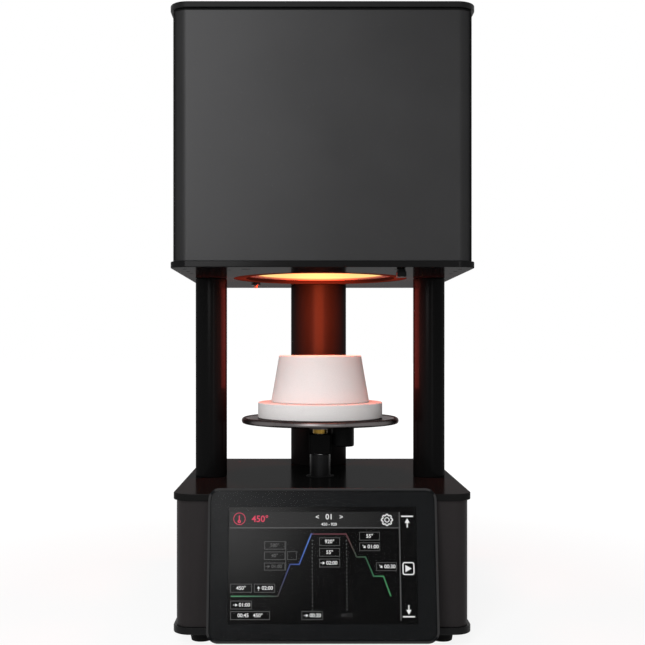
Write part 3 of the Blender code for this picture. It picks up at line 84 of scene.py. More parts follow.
class Axis(Enum):
    """The three directions of the furnace's own frame."""

    X = (1.0, 0.0, 0.0)
    Y = (0.0, 1.0, 0.0)
    Z = (0.0, 0.0, 1.0)

    def vector(self) -> Vector:
        """Return the direction as a vector."""
        return Vector(self.value)

    def across(self) -> Vector:
        """Return the direction in which a profile's radius is drawn."""
        return Vector(Axis.Y.value) if self is Axis.X else Vector(Axis.X.value)


class Element(Enum):
    """What is picked in edit mode."""

    VERTEX = "VERT"
    EDGE = "EDGE"
    FACE = "FACE"


@dataclass(frozen=True)
class Box:
    """Lowest and highest corner of a CAD node at rest."""

    low: Vector
    high: Vector

    @classmethod
    def of(cls, node: str) -> "Box":
        """Read a CAD node's box from the frame, in metres."""
        low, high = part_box(node)
        return cls(Vector(low), Vector(high))

    @property
    def middle(self) -> Vector:
        """Return the box's middle."""
        return (self.low + self.high) / 2

    @property
    def size(self) -> Vector:
        """Return the box's three sizes."""
        return self.high - self.low

    @property
    def foot(self) -> Vector:
        """Return the middle of the box's lower face."""
        return Vector((self.middle.x, self.middle.y, self.low.z))


class Bench:
    """Modelling by operators, on one picked piece at a time."""

    @staticmethod
    def clear() -> None:
        """Deselect everything."""
        bpy.ops.object.select_all(action="DESELECT")

    @staticmethod
    def pick(*pieces: Piece) -> None:
        """Deselect everything, then select some pieces.

        Args:
            pieces: The pieces, of which the last becomes the active one.
        """
        Bench.clear()
        for piece in pieces:
            piece.select_set(True)
        bpy.context.view_layer.objects.active = pieces[-1]

    @staticmethod
    def settle(piece: Piece) -> Piece:
        """Put a piece's place, turn and scale into its mesh.

        Args:
            piece: The piece.

        Returns:
            The same piece.
        """
        Bench.pick(piece)
        bpy.ops.object.transform_apply(location=True, rotation=True, scale=True)
        return piece

    @staticmethod
    def added(name: str) -> Piece:
        """Name the primitive that was just added and settle it.

        Args:
            name: Its name.

        Returns:
            The primitive.
        """
        piece = bpy.context.active_object
        piece.name = name
        piece.data.name = name
        return Bench.settle(piece)

    @staticmethod
    @contextmanager
    def editing(piece: Piece) -> Iterator[None]:
        """Open a piece in edit mode for the length of a with block.

        Args:
            piece: The piece.

        Yields:
            Nothing.
        """
        Bench.pick(piece)
        bpy.ops.object.mode_set(mode="EDIT")
        bpy.ops.mesh.select_mode(type=Element.VERTEX.value)
        try:
            yield
        finally:
            bpy.ops.object.mode_set(mode="OBJECT")

    @staticmethod
    def choose(piece: Piece, kind: Element, test: Callable[..., bool]) -> None:
        """Select the elements of a piece in edit mode that pass a test.

        Args:
            piece: The piece that is open in edit mode.
            kind: Which elements are picked.
            test: Says of one element whether it is picked.
        """
        bpy.ops.mesh.select_mode(type=kind.value)
        bpy.ops.mesh.select_all(action="DESELECT")
        shape = bmesh.from_edit_mesh(piece.data)
        series = {Element.VERTEX: shape.verts, Element.EDGE: shape.edges, Element.FACE: shape.faces}
        for element in series[kind]:
            if test(element):
                element.select_set(True)
        shape.select_flush_mode()
        bmesh.update_edit_mesh(piece.data)

    @staticmethod
    def pick_all() -> None:
        """Select all of the piece that is open in edit mode."""
        bpy.ops.mesh.select_all(action="SELECT")

    @staticmethod
    def extrude(shift: Vector) -> None:
        """Extrude what is selected in edit mode by a shift."""
        bpy.ops.mesh.extrude_region_move(TRANSFORM_OT_translate={"value": shift})

    @staticmethod
    def facing(direction: Vector) -> Callable[[bmesh.types.BMFace], bool]:
        """Return a test for faces that look in a direction."""
        return lambda face: face.normal.dot(direction) > STRAIGHT

    @staticmethod
    def running(axis: Axis) -> Callable[[bmesh.types.BMEdge], bool]:
        """Make a test for edges that run along an axis.

        Args:
            axis: The axis.

        Returns:
            The test.
        """

        def test(edge: bmesh.types.BMEdge) -> bool:
            """Say whether one edge runs along the axis."""
            course = edge.verts[1].co - edge.verts[0].co
            return abs(course.normalized().dot(axis.vector())) > STRAIGHT

        return test

    @staticmethod
    def block(name: str, low: Vector, high: Vector) -> Piece:
        """Make a plain block between two corners, as a start or a cutter.

        Args:
            name: Name of the piece.
            low: Lowest corner.
            high: Highest corner.

        Returns:
            The new piece.
        """
        Bench.clear()
        bpy.ops.mesh.primitive_cube_add(size=1.0, location=(low + high) / 2, scale=high - low)
        return Bench.added(name)

    @staticmethod
    def slab(
        name: str, low: Vector, high: Vector, radius: float, axis: Axis = Axis.Z, steps: int = 12
    ) -> Piece:
        """Make a block whose edges along one axis are rounded.

        Args:
            name: Name of the piece.
            low: Lowest corner.
            high: Highest corner.
            radius: Radius of the four rounded corners.
            axis: Direction in which these corners run.
            steps: Facets of each corner.

        Returns:
            The new piece.
        """
        piece = Bench.block(name, low, high)
        with Bench.editing(piece):
            Bench.choose(piece, Element.EDGE, Bench.running(axis))
            bpy.ops.mesh.bevel(offset=radius, segments=steps, affect="EDGES")
        return piece

    @staticmethod
    def rod(
        name: str, middle: Vector, radius: float, length: float, axis: Axis = Axis.Z, sides: int = 32
    ) -> Piece:
        """Make a plain round rod, as a start or a cutter.

        Args:
            name: Name of the piece.
            middle: Its middle.
            radius: Its radius.
            length: Its length.
            axis: Its direction.
            sides: Facets round it.

        Returns:
            The new piece.
        """
        turn = Vector(Axis.Z.value).rotation_difference(axis.vector()).to_euler()
        Bench.clear()
        bpy.ops.mesh.primitive_cylinder_add(
            vertices=sides, radius=radius, depth=length, location=middle, rotation=turn
        )
        return Bench.added(name)

    @staticmethod
    def traced(name: str, points: Sequence[Vector]) -> Piece:
        """Draw a line through points by extruding one vertex from each to the next.

        Args:
            name: Name of the piece.
            points: The points in order.

        Returns:
            A piece of edges alone.
        """
        Bench.clear()
        bpy.ops.mesh.primitive_plane_add(size=MM, location=(0, 0, 0))
        piece = Bench.added(name)
        with Bench.editing(piece):
            Bench.pick_all()
            bpy.ops.mesh.merge(type="CENTER")
            bpy.ops.transform.translate(value=points[0])
            for start, end in zip(points, points[1:]):
                Bench.extrude(end - start)
        return piece

    @staticmethod
    def turned(
        name: str, profile: Outline, centre: Vector, axis: Axis = Axis.Z, sides: int = 96,
        closed: bool = True,
    ) -> Piece:
        """Turn a piece as on a lathe.

        Args:
            name: Name of the piece.
            profile: Points of radius and place along the axis, from the centre.
            centre: Point on the axis from which the profile is measured.
            axis: The axis of turning.
            sides: Facets of a full turn.
            closed: Whether the profile is a loop, as of a ring; else it runs from pole to pole.

        Returns:
            The turned piece, closed and with its faces outwards.
        """
        points = [centre + axis.across() * radius + axis.vector() * along for radius, along in profile]
        if closed:
            points.append(points[0])
        piece = Bench.traced(name, points)
        with Bench.editing(piece):
            Bench.pick_all()
            bpy.ops.mesh.spin(steps=sides, angle=2 * math.pi, center=centre, axis=axis.value)
            Bench.pick_all()
            bpy.ops.mesh.remove_doubles(threshold=TINY)
            bpy.ops.mesh.dissolve_degenerate(threshold=TINY)
            Bench.pick_all()
            bpy.ops.mesh.normals_make_consistent(inside=False)
        return piece

    @staticmethod
    def flat(name: str, outline: Outline, thickness: float) -> Piece:
        """Make a thin flat piece in the X-Z plane from its outline.

        Args:
            name: Name of the piece.
            outline: Points across and up.
            thickness: Its thickness, towards -Y.

        Returns:
            The new piece.
        """
        points = [Vector((across, 0, up)) for across, up in outline]
        piece = Bench.traced(name, points + points[:1])
        with Bench.editing(piece):
            Bench.pick_all()
            bpy.ops.mesh.remove_doubles(threshold=TINY)
            bpy.ops.mesh.edge_face_add()
            Bench.pick_all()
            Bench.extrude(Vector((0, -thickness, 0)))
            Bench.pick_all()
            bpy.ops.mesh.normals_make_consistent(inside=False)
        return piece

    @staticmethod
    def apply(piece: Piece, modifier: bpy.types.Modifier) -> None:
        """Apply one modifier."""
        Bench.pick(piece)
        bpy.ops.object.modifier_apply(modifier=modifier.name)

    @staticmethod
    def cut(piece: Piece, *cutters: Piece) -> Piece:
        """Take the cutters' shapes out of a piece and delete the cutters.

        Args:
            piece: The piece.
            cutters: The cutters.

        Returns:
            The same piece.
        """
        for cutter in cutters:
            modifier = piece.modifiers.new("cut", "BOOLEAN")
            modifier.operation = "DIFFERENCE"
            modifier.solver = "EXACT"
            modifier.object = cutter
            Bench.apply(piece, modifier)
            bpy.data.objects.remove(cutter)
        return piece

    @staticmethod
    def drill(
        piece: Piece, middle: Vector, radius: float, length: float, axis: Axis = Axis.Z,
        sides: int = 32,
    ) -> None:
        """Drill a round hole into a piece; the measures are those of a rod that fills it."""
        Bench.cut(piece, Bench.rod("hole", middle, radius, length, axis, sides))

    @staticmethod
    def soften(piece: Piece, width: float, steps: int = 2) -> Piece:
        """Round a piece's sharp edges and shade it smooth.

        Args:
            piece: The piece.
            width: Width of the rounding.
            steps: Facets of the rounding.

        Returns:
            The same piece.
        """
        modifier = piece.modifiers.new("soften", "BEVEL")
        modifier.width = width
        modifier.segments = steps
        modifier.limit_method = "ANGLE"
        modifier.angle_limit = math.radians(SHARP)
        Bench.apply(piece, modifier)
        return Bench.smooth(piece)

    @staticmethod
    def smooth(piece: Piece, angle: float = SHARP) -> Piece:
        """Shade a piece smooth, its flat faces kept even.

        Args:
            piece: The piece.
            angle: Edges sharper than this many degrees stay sharp.

        Returns:
            The same piece.
        """
        Bench.pick(piece)
        bpy.ops.object.shade_smooth_by_angle(angle=math.radians(angle))
        modifier = piece.modifiers.new("even", "WEIGHTED_NORMAL")
        modifier.keep_sharp = True
        Bench.apply(piece, modifier)
        return piece

    @staticmethod
    def repeat(piece: Piece, shifts: Sequence[Vector]) -> list[Piece]:
        """Copy a piece, each copy with its own mesh.

        Args:
            piece: The first of the pieces.
            shifts: How far each copy lies from it.

        Returns:
            The piece and its copies.
        """
        pieces = [piece]
        for shift in shifts:
            Bench.pick(piece)
            bpy.ops.object.duplicate(linked=False)
            bpy.ops.transform.translate(value=shift)
            pieces.append(Bench.settle(bpy.context.active_object))
        return pieces

    @staticmethod
    def joined(name: str, pieces: Sequence[Piece]) -> Piece:
        """Join pieces into one object.

        Args:
            name: Its name.
            pieces: The pieces, one or more.

        Returns:
            The object.
        """
        Bench.pick(*pieces)
        if len(pieces) > 1:
            bpy.ops.object.join()
        piece = bpy.context.active_object
        piece.name = name
        piece.data.name = name
        return piece


class Recipe:
    """Node tree of one material, put together socket by socket."""

    def __init__(self, name: str) -> None:
        """Start from a plain shader.

        Args:
            name: Name of the material.
        """
        self.material = bpy.data.materials.new(name)
        self.material.use_nodes = True
        self.tree = self.material.node_tree
        self.shader = self.tree.nodes["Principled BSDF"]

    def add(self, kind: str, **settings: object) -> bpy.types.Node:
        """Add a node and set its options.

        Args:
            kind: Blender's name of the node's type.
            settings: Options of the node and their values.

        Returns:
            The node.
        """
        node = self.tree.nodes.new(kind)
        for option, value in settings.items():
            setattr(node, option, value)
        return node

    def join(self, source: Socket, target: Socket) -> None:
        """Link one socket to another."""
        self.tree.links.new(source, target)

    def fix(self, **values: object) -> None:
        """Set constants on the shader.

        Args:
            values: Sockets and their values; an underscore in a name stands for a space.
        """
        for option, value in values.items():
            name = option.replace("_", " ")
            if isinstance(value, tuple) and len(value) == 3:
                value = (*value, 1.0)
            self.shader.inputs[name].default_value = value

    def place(
        self, centre: Sequence[float] = (0, 0, 0), stretch: Sequence[float] = (1, 1, 1),
        turn: Sequence[float] = (0, 0, 0),
    ) -> Socket:
        """Read the place on the furnace.

        Args:
            centre: Where the pattern has its origin.
            stretch: How much longer the pattern is along each axis.
            turn: How the pattern is turned, in radians.

        Returns:
            The coordinates' socket.
        """
        coordinate = self.add("ShaderNodeTexCoord")
        mapping = self.add("ShaderNodeMapping", vector_type="TEXTURE")
        mapping.inputs["Location"].default_value = centre
        mapping.inputs["Rotation"].default_value = turn
        mapping.inputs["Scale"].default_value = stretch
        self.join(coordinate.outputs["Object"], mapping.inputs["Vector"])
        return mapping.outputs["Vector"]

    def noise(self, spot: Socket, scale: float, detail: float = 3.0) -> Socket:
        """Add a cloudy pattern.

        Args:
            spot: The coordinates.
            scale: Fineness of the pattern, per metre.
            detail: How many finer patterns lie in it.

        Returns:
            The pattern's socket.
        """
        node = self.add("ShaderNodeTexNoise")
        node.inputs["Scale"].default_value = scale
        node.inputs["Detail"].default_value = detail
        self.join(spot, node.inputs["Vector"])
        return node.outputs[0]

    def rings(self, spot: Socket, scale: float) -> Socket:
        """Add the fine rings of a turned face about the pattern's Z axis.

        Args:
            spot: The coordinates.
            scale: Fineness of the rings, per metre.

        Returns:
            The pattern's socket.
        """
        node = self.add("ShaderNodeTexWave", wave_type="RINGS", rings_direction="Z")
        node.inputs["Scale"].default_value = scale
        node.inputs["Distortion"].default_value = 0.4
        node.inputs["Detail"].default_value = 2.0
        self.join(spot, node.inputs["Vector"])
        return node.outputs["Fac"]

    def spread(
        self, source: Socket, low: float, high: float, start: float = 0.25,
        end: float = 0.75,
    ) -> Socket:
        """Bring a pattern to a range of values.

        Args:
            source: The pattern.
            low: Value at the start.
            high: Value at the end.
            start: Where in the pattern the change begins.
            end: Where it ends.

        Returns:
            The new value's socket.
        """
        node = self.add("ShaderNodeMapRange")
        for option, value in zip(("From Min", "From Max", "To Min", "To Max"), (start, end, low, high)):
            node.inputs[option].default_value = value
        self.join(source, node.inputs["Value"])
        return node.outputs["Result"]

    def ramp(
        self, source: Socket, stops: Sequence[tuple[float, Colour]]
    ) -> Socket:
        """Colour a pattern.

        Args:
            source: The pattern.
            stops: Places on the ramp and their colours.

        Returns:
            The colour's socket.
        """
        node = self.add("ShaderNodeValToRGB")
        elements = node.color_ramp.elements
        while len(elements) < len(stops):
            elements.new(1.0)
        for element, (place, colour) in zip(elements, stops):
            element.position = place
            element.color = (*colour, 1.0)
        self.join(source, node.inputs["Fac"])
        return node.outputs["Color"]

    def blend(
        self, share: Socket, first: Socket, second: Colour
    ) -> Socket:
        """Mix a second colour into a first, by a pattern.

        Args:
            share: The pattern.
            first: The first colour's socket.
            second: The second colour.

        Returns:
            The mixed colour's socket.
        """
        node = self.add("ShaderNodeMix", data_type="RGBA")
        self.join(share, node.inputs["Factor"])
        self.join(first, node.inputs[6])
        node.inputs[7].default_value = (*second, 1.0)
        return node.outputs[2]

    def product(self, first: Socket, second: Socket) -> Socket:
        """Multiply two values.

        Args:
            first: The one value's socket.
            second: The other's.

        Returns:
            The product's socket.
        """
        node = self.add("ShaderNodeMath", operation="MULTIPLY")
        self.join(first, node.inputs[0])
        self.join(second, node.inputs[1])
        return node.outputs[0]

    def relief(
        self, height: Socket, depth: float, below: Socket | None = None
    ) -> Socket:
        """Raise a pattern.

        Args:
            height: The pattern.
            depth: How high it stands, in metres.
            below: Another relief that it lies on, if there is one.

        Returns:
            The relief's socket.
        """
        node = self.add("ShaderNodeBump")
        node.inputs["Strength"].default_value = 1.0
        node.inputs["Distance"].default_value = depth
        self.join(height, node.inputs["Height"])
        if below is not None:
            self.join(below, node.inputs["Normal"])
        return node.outputs["Normal"]

    def feed(self, **sources: Socket) -> None:
        """Link sockets to the shader; an underscore in a name stands for a space."""
        for option, source in sources.items():
            self.join(source, self.shader.inputs[option.replace("_", " ")])


def scaled(colour: Colour, factor: float) -> Colour:
    """Return a colour made darker or lighter."""
    return tuple(min(1.0, channel * factor) for channel in colour)


class Finish:
    """A finish with a name, which sets up a material of its own."""

    name: str

    def build(self) -> Material:
        """Make the material.

        Returns:
            The material.
        """
        recipe = Recipe(self.name)
        self.paint(recipe)
        return recipe.material


@dataclass(frozen=True)
class Coating(Finish):
    """Sprayed or moulded surface: faint mottling, fine grain, rubbed spots and dust.

    Attributes:
        name: Name of the material.
        colour: Its colour.
        roughness: Least and greatest roughness.
        gloss: Weight of the clear coat.
        gloss_roughness: Roughness of the clear coat.
        sheen_level: Strength of the colour layer's own shine.
        grain: Fineness of the grain, per metre.
        grain_depth: Height of the grain in metres.
        dust: How much light the dust and fine scuffs add.
        flakes: Share of metal flakes in the lacquer.
        edge: Tint of what the flakes mirror at a flat angle.
    """

    name: str
    colour: Colour
    roughness: tuple[float, float] = (0.42, 0.5)
    gloss: float = 0.0
    gloss_roughness: float = 0.2
    sheen_level: float = 0.05
    grain: float = 1800.0
    grain_depth: float = 0.00001
    dust: float = 0.12
    flakes: float = 0.0
    edge: Colour = (0.5, 0.5, 0.5)

    def paint(self, recipe: Recipe) -> None:
        """Set up the material's nodes.

        Args:
            recipe: The material's recipe, still plain.
        """
        spot = recipe.place()
        mottling = recipe.noise(spot, scale=14.0, detail=4.0)
        grain = recipe.noise(spot, self.grain, detail=2.0)
        specks = recipe.noise(spot, scale=420.0, detail=3.0)
        colour = recipe.ramp(mottling, [(0.3, scaled(self.colour, 0.94)), (0.7, scaled(self.colour, 1.06))])
        dusty = recipe.spread(specks, 0.0, 0.12, 0.66, 0.86)
        powder = tuple(channel * 3.0 + self.dust * 0.2 for channel in self.colour)
        recipe.feed(Base_Color=recipe.blend(dusty, colour, powder))
        recipe.feed(Roughness=recipe.spread(mottling, *self.roughness))
        recipe.feed(Normal=recipe.relief(grain, self.grain_depth))
        recipe.fix(Specular_IOR_Level=self.sheen_level, Coat_Weight=self.gloss)
        recipe.fix(Coat_Roughness=self.gloss_roughness, Metallic=self.flakes, Specular_Tint=self.edge)


@dataclass(frozen=True)
class TurnedMetal(Finish):
    """Metal with the rings of the lathe, worn a little smoother in patches.

    The rings lie about an axis through centre, turned away from Z by turn in radians. pitch is their
    fineness per metre, depth their depth in metres, and edge the tint mirrored at a flat angle.
    """

    name: str
    colour: Colour
    centre: tuple[float, float, float] = (0.0, 0.0, 0.0)
    turn: tuple[float, float, float] = (0.0, 0.0, 0.0)
    pitch: float = 900.0
    depth: float = 0.000008
    roughness: tuple[float, float] = (0.24, 0.36)
    edge: Colour = (0.6, 0.6, 0.6)

    def paint(self, recipe: Recipe) -> None:
        """Set up the material's nodes.

        Args:
            recipe: The material's recipe, still plain.
        """
        spot = recipe.place(self.centre, turn=self.turn)
        rings = recipe.rings(spot, self.pitch)
        wear = recipe.noise(spot, scale=60.0, detail=4.0)
        colour = recipe.ramp(wear, [(0.3, scaled(self.colour, 0.85)), (0.72, scaled(self.colour, 1.08))])
        recipe.feed(Base_Color=colour, Roughness=recipe.spread(wear, *self.roughness))
        recipe.feed(Normal=recipe.relief(rings, self.depth))
        recipe.fix(Metallic=1.0, Specular_Tint=self.edge)


@dataclass(frozen=True)
class BrushedMetal(Finish):
    """Sheet or rod with fine scratches, stretched along the axes and with a depth in metres."""

    name: str
    colour: Colour
    stretch: tuple[float, float, float] = (1.0, 1.0, 30.0)
    roughness: tuple[float, float] = (0.26, 0.4)
    depth: float = 0.000006

    def paint(self, recipe: Recipe) -> None:
        """Set up the material's nodes.

        Args:
            recipe: The material's recipe, still plain.
        """
        scratches = recipe.noise(recipe.place(stretch=self.stretch), scale=2200.0, detail=2.0)
        wear = recipe.noise(recipe.place(), scale=45.0, detail=4.0)
        colour = recipe.ramp(wear, [(0.3, scaled(self.colour, 0.86)), (0.7, scaled(self.colour, 1.06))])
        recipe.feed(Base_Color=colour, Roughness=recipe.spread(scratches, *self.roughness))
        recipe.feed(Normal=recipe.relief(scratches, self.depth))
        recipe.fix(Metallic=1.0)


@dataclass(frozen=True)
class PressedFibre(Finish):
    """Pressed ceramic fibre: chalky, with a felted grain and faint scorching towards the heat.

    glow is the colour of its own light and strength the strength of that light, 0 for none.
    """

    name: str
    colour: Colour = (0.83, 0.81, 0.8)
    scorched: Colour = (0.72, 0.6, 0.52)
    glow: Colour = (0.0, 0.0, 0.0)
    strength: float = 0.0

    def paint(self, recipe: Recipe) -> None:
        """Set up the material's nodes.

        Args:
            recipe: The material's recipe, still plain.
        """
        spot = recipe.place()
        felt = recipe.noise(recipe.place(stretch=(1.0, 1.0, 0.45)), scale=900.0, detail=6.0)
        clouds = recipe.noise(spot, scale=26.0, detail=5.0)
        colour = recipe.ramp(felt, [(0.28, scaled(self.colour, 0.95)), (0.6, self.colour)])
        stains = recipe.spread(clouds, 0.0, 0.14, 0.56, 0.8)
        recipe.feed(Base_Color=recipe.blend(stains, colour, self.scorched))
        recipe.feed(Roughness=recipe.spread(felt, 0.82, 0.95))
        recipe.feed(Normal=recipe.relief(felt, 0.00006, recipe.relief(clouds, 0.0002)))
        recipe.fix(Specular_IOR_Level=0.15)
        if self.strength > 0:
            light = recipe.ramp(clouds, [(0.3, scaled(self.glow, 0.88)), (0.7, self.glow)])
            recipe.feed(Emission_Color=light)
            recipe.fix(Emission_Strength=self.strength)


@dataclass(frozen=True)
class RingWithPaintedGlow(Finish):
    """Ring with painted light: emission, brightest towards the chamber, darker and browner outwards.

    Attributes:
        name: Name of the material.
        colour: Its colour.
        centre: A point on the ring's axis.
        inner: Radius where the glow is strongest.
        outer: Radius where it has faded.
        painted_glow_inner: Painted light at the inner radius.
        painted_glow_outer: Painted light at the outer radius.
        bore: Painted light of the wall of the bore.
        lip: Height up to which the wall has faded to the painted shade of its edge.
        edge: Painted shade of that edge.
        roughness: Its roughness, least and greatest.
        fade: Half the height over which the wall's painted light changes.
    """

    name: str
    colour: Colour
    centre: tuple[float, float, float]
    inner: float
    outer: float
    painted_glow_inner: Colour
    painted_glow_outer: Colour
    bore: Colour
    lip: float
    edge: Colour
    roughness: tuple[float, float] = (0.3, 0.42)
    fade: float = 0.3 * MM

    def paint(self, recipe: Recipe) -> None:
        """Set up the material's nodes.

        Args:
            recipe: The material's recipe, still plain.
        """
        spot = recipe.place(self.centre)
        split = recipe.add("ShaderNodeSeparateXYZ")
        recipe.join(spot, split.inputs[0])
        plane = recipe.add("ShaderNodeCombineXYZ")
        recipe.join(split.outputs["X"], plane.inputs["X"])
        recipe.join(split.outputs["Y"], plane.inputs["Y"])
        reach = recipe.add("ShaderNodeVectorMath", operation="LENGTH")
        recipe.join(plane.outputs[0], reach.inputs[0])
        share = recipe.spread(reach.outputs["Value"], 0.0, 1.0, self.inner, self.outer)
        rings = recipe.rings(spot, 700.0)
        patches = recipe.noise(spot, scale=70.0, detail=4.0)
        colour = recipe.ramp(patches, [(0.3, scaled(self.colour, 0.85)), (0.7, self.colour)])
        recipe.feed(Base_Color=colour, Roughness=recipe.spread(patches, *self.roughness))
        recipe.feed(Normal=recipe.relief(rings, 0.000008))
        # Painted light: the emission stands in for the chamber's light on the face and up the bore, with
        # painted shade at the bore's foot and edge
        rim_share, wall_share, face_share = 0.025, 0.03, 0.05
        light = [(0.0, self.edge), (rim_share, self.edge), (face_share, self.painted_glow_inner), (1.0, self.painted_glow_outer)]
        face = recipe.ramp(share, light)
        wall = recipe.add("ShaderNodeMath", operation="LESS_THAN")
        recipe.join(share, wall.inputs[0])
        wall.inputs[1].default_value = wall_share
        raised = recipe.spread(split.outputs["Z"], 0.0, 1.0, self.lip - self.fade, self.lip + self.fade)
        inside = recipe.product(wall.outputs[0], raised)
        recipe.feed(Emission_Color=recipe.blend(inside, face, self.bore))
        recipe.fix(Emission_Strength=1.0, Specular_IOR_Level=0.0)


@dataclass(frozen=True)
class GlowingTube(Finish):
    """Milky tube lit from behind by the coil, in bands that follow its turns.

    The bands start at centre and repeat with the pitch, bright at a turn and dim between two.
    """

    name: str
    centre: tuple[float, float, float]
    pitch: float
    bright: Colour = (0.95, 0.74, 0.3)
    dim: Colour = (0.9, 0.6, 0.2)
    strength: float = 0.95

    def paint(self, recipe: Recipe) -> None:
        """Set up the material's nodes.

        Args:
            recipe: The material's recipe, still plain.
        """
        spot = recipe.place(self.centre)
        bands = recipe.add("ShaderNodeTexWave", wave_type="BANDS", bands_direction="Z")
        bands.inputs["Scale"].default_value = math.pi / (10.0 * self.pitch)
        bands.inputs["Distortion"].default_value = 0.3
        recipe.join(spot, bands.inputs["Vector"])
        cloud = recipe.noise(spot, scale=120.0, detail=4.0)
        recipe.feed(Emission_Color=recipe.ramp(bands.outputs["Fac"], [(0.1, self.dim), (0.8, self.bright)]))
        recipe.feed(Base_Color=recipe.ramp(cloud, [(0.3, (0.82, 0.78, 0.7)), (0.7, (0.9, 0.87, 0.8))]))
        recipe.feed(Roughness=recipe.spread(cloud, 0.22, 0.4))
        recipe.feed(Normal=recipe.relief(cloud, 0.00003))
        recipe.fix(Emission_Strength=self.strength)


@dataclass(frozen=True)
class CoverGlass(Finish):
    """Dark cover glass of the touch panel, with a soft front and faint finger marks.

    veil is the least and greatest part of the light that the glass holds back.
    """

    name: str = "cover_glass"
    tint: Colour = (0.006, 0.0068, 0.0078)
    veil: tuple[float, float] = (0.015, 0.025)

    def paint(self, recipe: Recipe) -> None:
        """Set up the material's nodes.

        Args:
            recipe: The material's recipe, still plain.
        """
        marks = recipe.noise(recipe.place(), scale=55.0, detail=4.0)
        recipe.feed(Base_Color=recipe.ramp(marks, [(0.3, self.tint), (0.7, scaled(self.tint, 1.2))]))
        recipe.feed(Alpha=recipe.spread(marks, *self.veil), Roughness=recipe.spread(marks, 0.3, 0.36))
        recipe.feed(Coat_Normal=recipe.relief(marks, 0.00001))
        recipe.fix(Specular_IOR_Level=0.0, Coat_Weight=1.0, Coat_Roughness=0.27)


@dataclass(frozen=True)
class DisplayWithPaintedReflection(Finish):
    """Display in fine pixel rows, with a painted lamp reflection in its upper left corner fading to black.

    reach is the distance over which the painted reflection fades from lit in the corner to dark.
    """

    name: str
    corner: tuple[float, float, float]
    reach: float
    lit: Colour
    dark: Colour

    def paint(self, recipe: Recipe) -> None:
        """Set up the material's nodes.

        Args:
            recipe: The material's recipe, still plain.
        """
        reach = (self.reach, self.reach, self.reach)
        spot = recipe.place(self.corner, stretch=reach)
        # Painted reflection: grey light falling off from the upper left corner
        glow = recipe.add("ShaderNodeTexGradient", gradient_type="SPHERICAL")
        recipe.join(spot, glow.inputs["Vector"])
        rows = recipe.noise(recipe.place(stretch=(20.0, 1.0, 1.0)), scale=3000.0, detail=1.0)
        near = [(0.66, scaled(self.lit, 0.62)), (0.85, self.lit)]
        far = [(0.3, self.dark), (0.5, scaled(self.lit, 0.2))]
        recipe.feed(Emission_Color=recipe.ramp(glow.outputs["Fac"], far + near))
        black = [(0.3, (0.001, 0.001, 0.001)), (0.7, (0.002, 0.002, 0.002))]
        recipe.feed(Base_Color=recipe.ramp(rows, black))
        recipe.feed(Roughness=recipe.spread(rows, 0.3, 0.4))
        recipe.feed(Normal=recipe.relief(rows, 0.000004))
        recipe.fix(Emission_Strength=1.0, Specular_IOR_Level=0.0, Coat_Weight=0.04, Coat_Roughness=0.26)


@dataclass(frozen=True)
class Ink(Finish):
    """Lit marks on the display, slightly uneven as pixels are.

    stops are places along X and the light there, as shares of a length that begins at start.
    """

    name: str
    stops: tuple[tuple[float, Colour], ...]
    start: float = -0.1
    length: float = 0.2

    def paint(self, recipe: Recipe) -> None:
        """Set up the material's nodes.

        Args:
            recipe: The material's recipe, still plain.
        """
        split = recipe.add("ShaderNodeSeparateXYZ")
        recipe.join(recipe.place((self.start, 0, 0), stretch=(self.length, 1, 1)), split.inputs[0])
        pixels = recipe.noise(recipe.place(), scale=2400.0, detail=1.0)
        colour = recipe.ramp(split.outputs["X"], self.stops)
        uneven = recipe.spread(pixels, 0.0, 0.15)
        recipe.feed(Emission_Color=recipe.blend(uneven, colour, scaled(self.stops[0][1], 0.8)))
        recipe.feed(Roughness=recipe.spread(pixels, 0.4, 0.6))
        recipe.feed(Normal=recipe.relief(pixels, 0.000002))
        recipe.fix(Base_Color=(0.001, 0.001, 0.001), Emission_Strength=1.0, Specular_IOR_Level=0.0)


@dataclass(frozen=True)
class CircuitBoard(Finish):
    """Green lacquered board with copper tracks under the lacquer."""

    name: str = "circuit_board"
    lacquer: Colour = (0.01, 0.09, 0.035)
    track: Colour = (0.03, 0.17, 0.06)

    def paint(self, recipe: Recipe) -> None:
        """Set up the material's nodes.

        Args:
            recipe: The material's recipe, still plain.
        """
        spot = recipe.place()
        tracks = recipe.add("ShaderNodeTexBrick")
        tracks.inputs["Scale"].default_value = 180.0
        tracks.inputs["Color1"].default_value = (*self.lacquer, 1.0)
        tracks.inputs["Color2"].default_value = (*scaled(self.lacquer, 0.85), 1.0)
        tracks.inputs["Mortar"].default_value = (*self.track, 1.0)
        recipe.join(spot, tracks.inputs["Vector"])
        cloud = recipe.noise(spot, scale=90.0, detail=3.0)
        recipe.feed(Base_Color=tracks.outputs["Color"], Roughness=recipe.spread(cloud, 0.25, 0.4))
        recipe.feed(Normal=recipe.relief(tracks.outputs["Fac"], 0.00004))


def seat(
    piece: Piece, material: Material, body: Body = Body.FURNACE, nodes: Sequence[str] = ()
) -> Piece:
    """Dress a finished piece and fasten it to its body.

    Args:
        piece: The piece, in place.
        material: Its material.
        body: The body it rides on.
        nodes: The CAD nodes it stands for.

    Returns:
        The same piece.
    """
    piece.data.materials.clear()
    piece.data.materials.append(material)
    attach(piece, body.value)
    if nodes:
        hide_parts(*nodes)
    LOG.info("%s rides on %s", piece.name, body.value)
    return piece


def dress(material: Material, *nodes: str) -> None:
    """Give CAD nodes that stay as they are a better material.

    Args:
        material: The material.
        nodes: Names of the nodes.
    """
    for node in nodes:
        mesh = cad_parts[node].data
        mesh.materials.clear()
        mesh.materials.append(material)
        LOG.info("%s keeps its CAD shape", node)


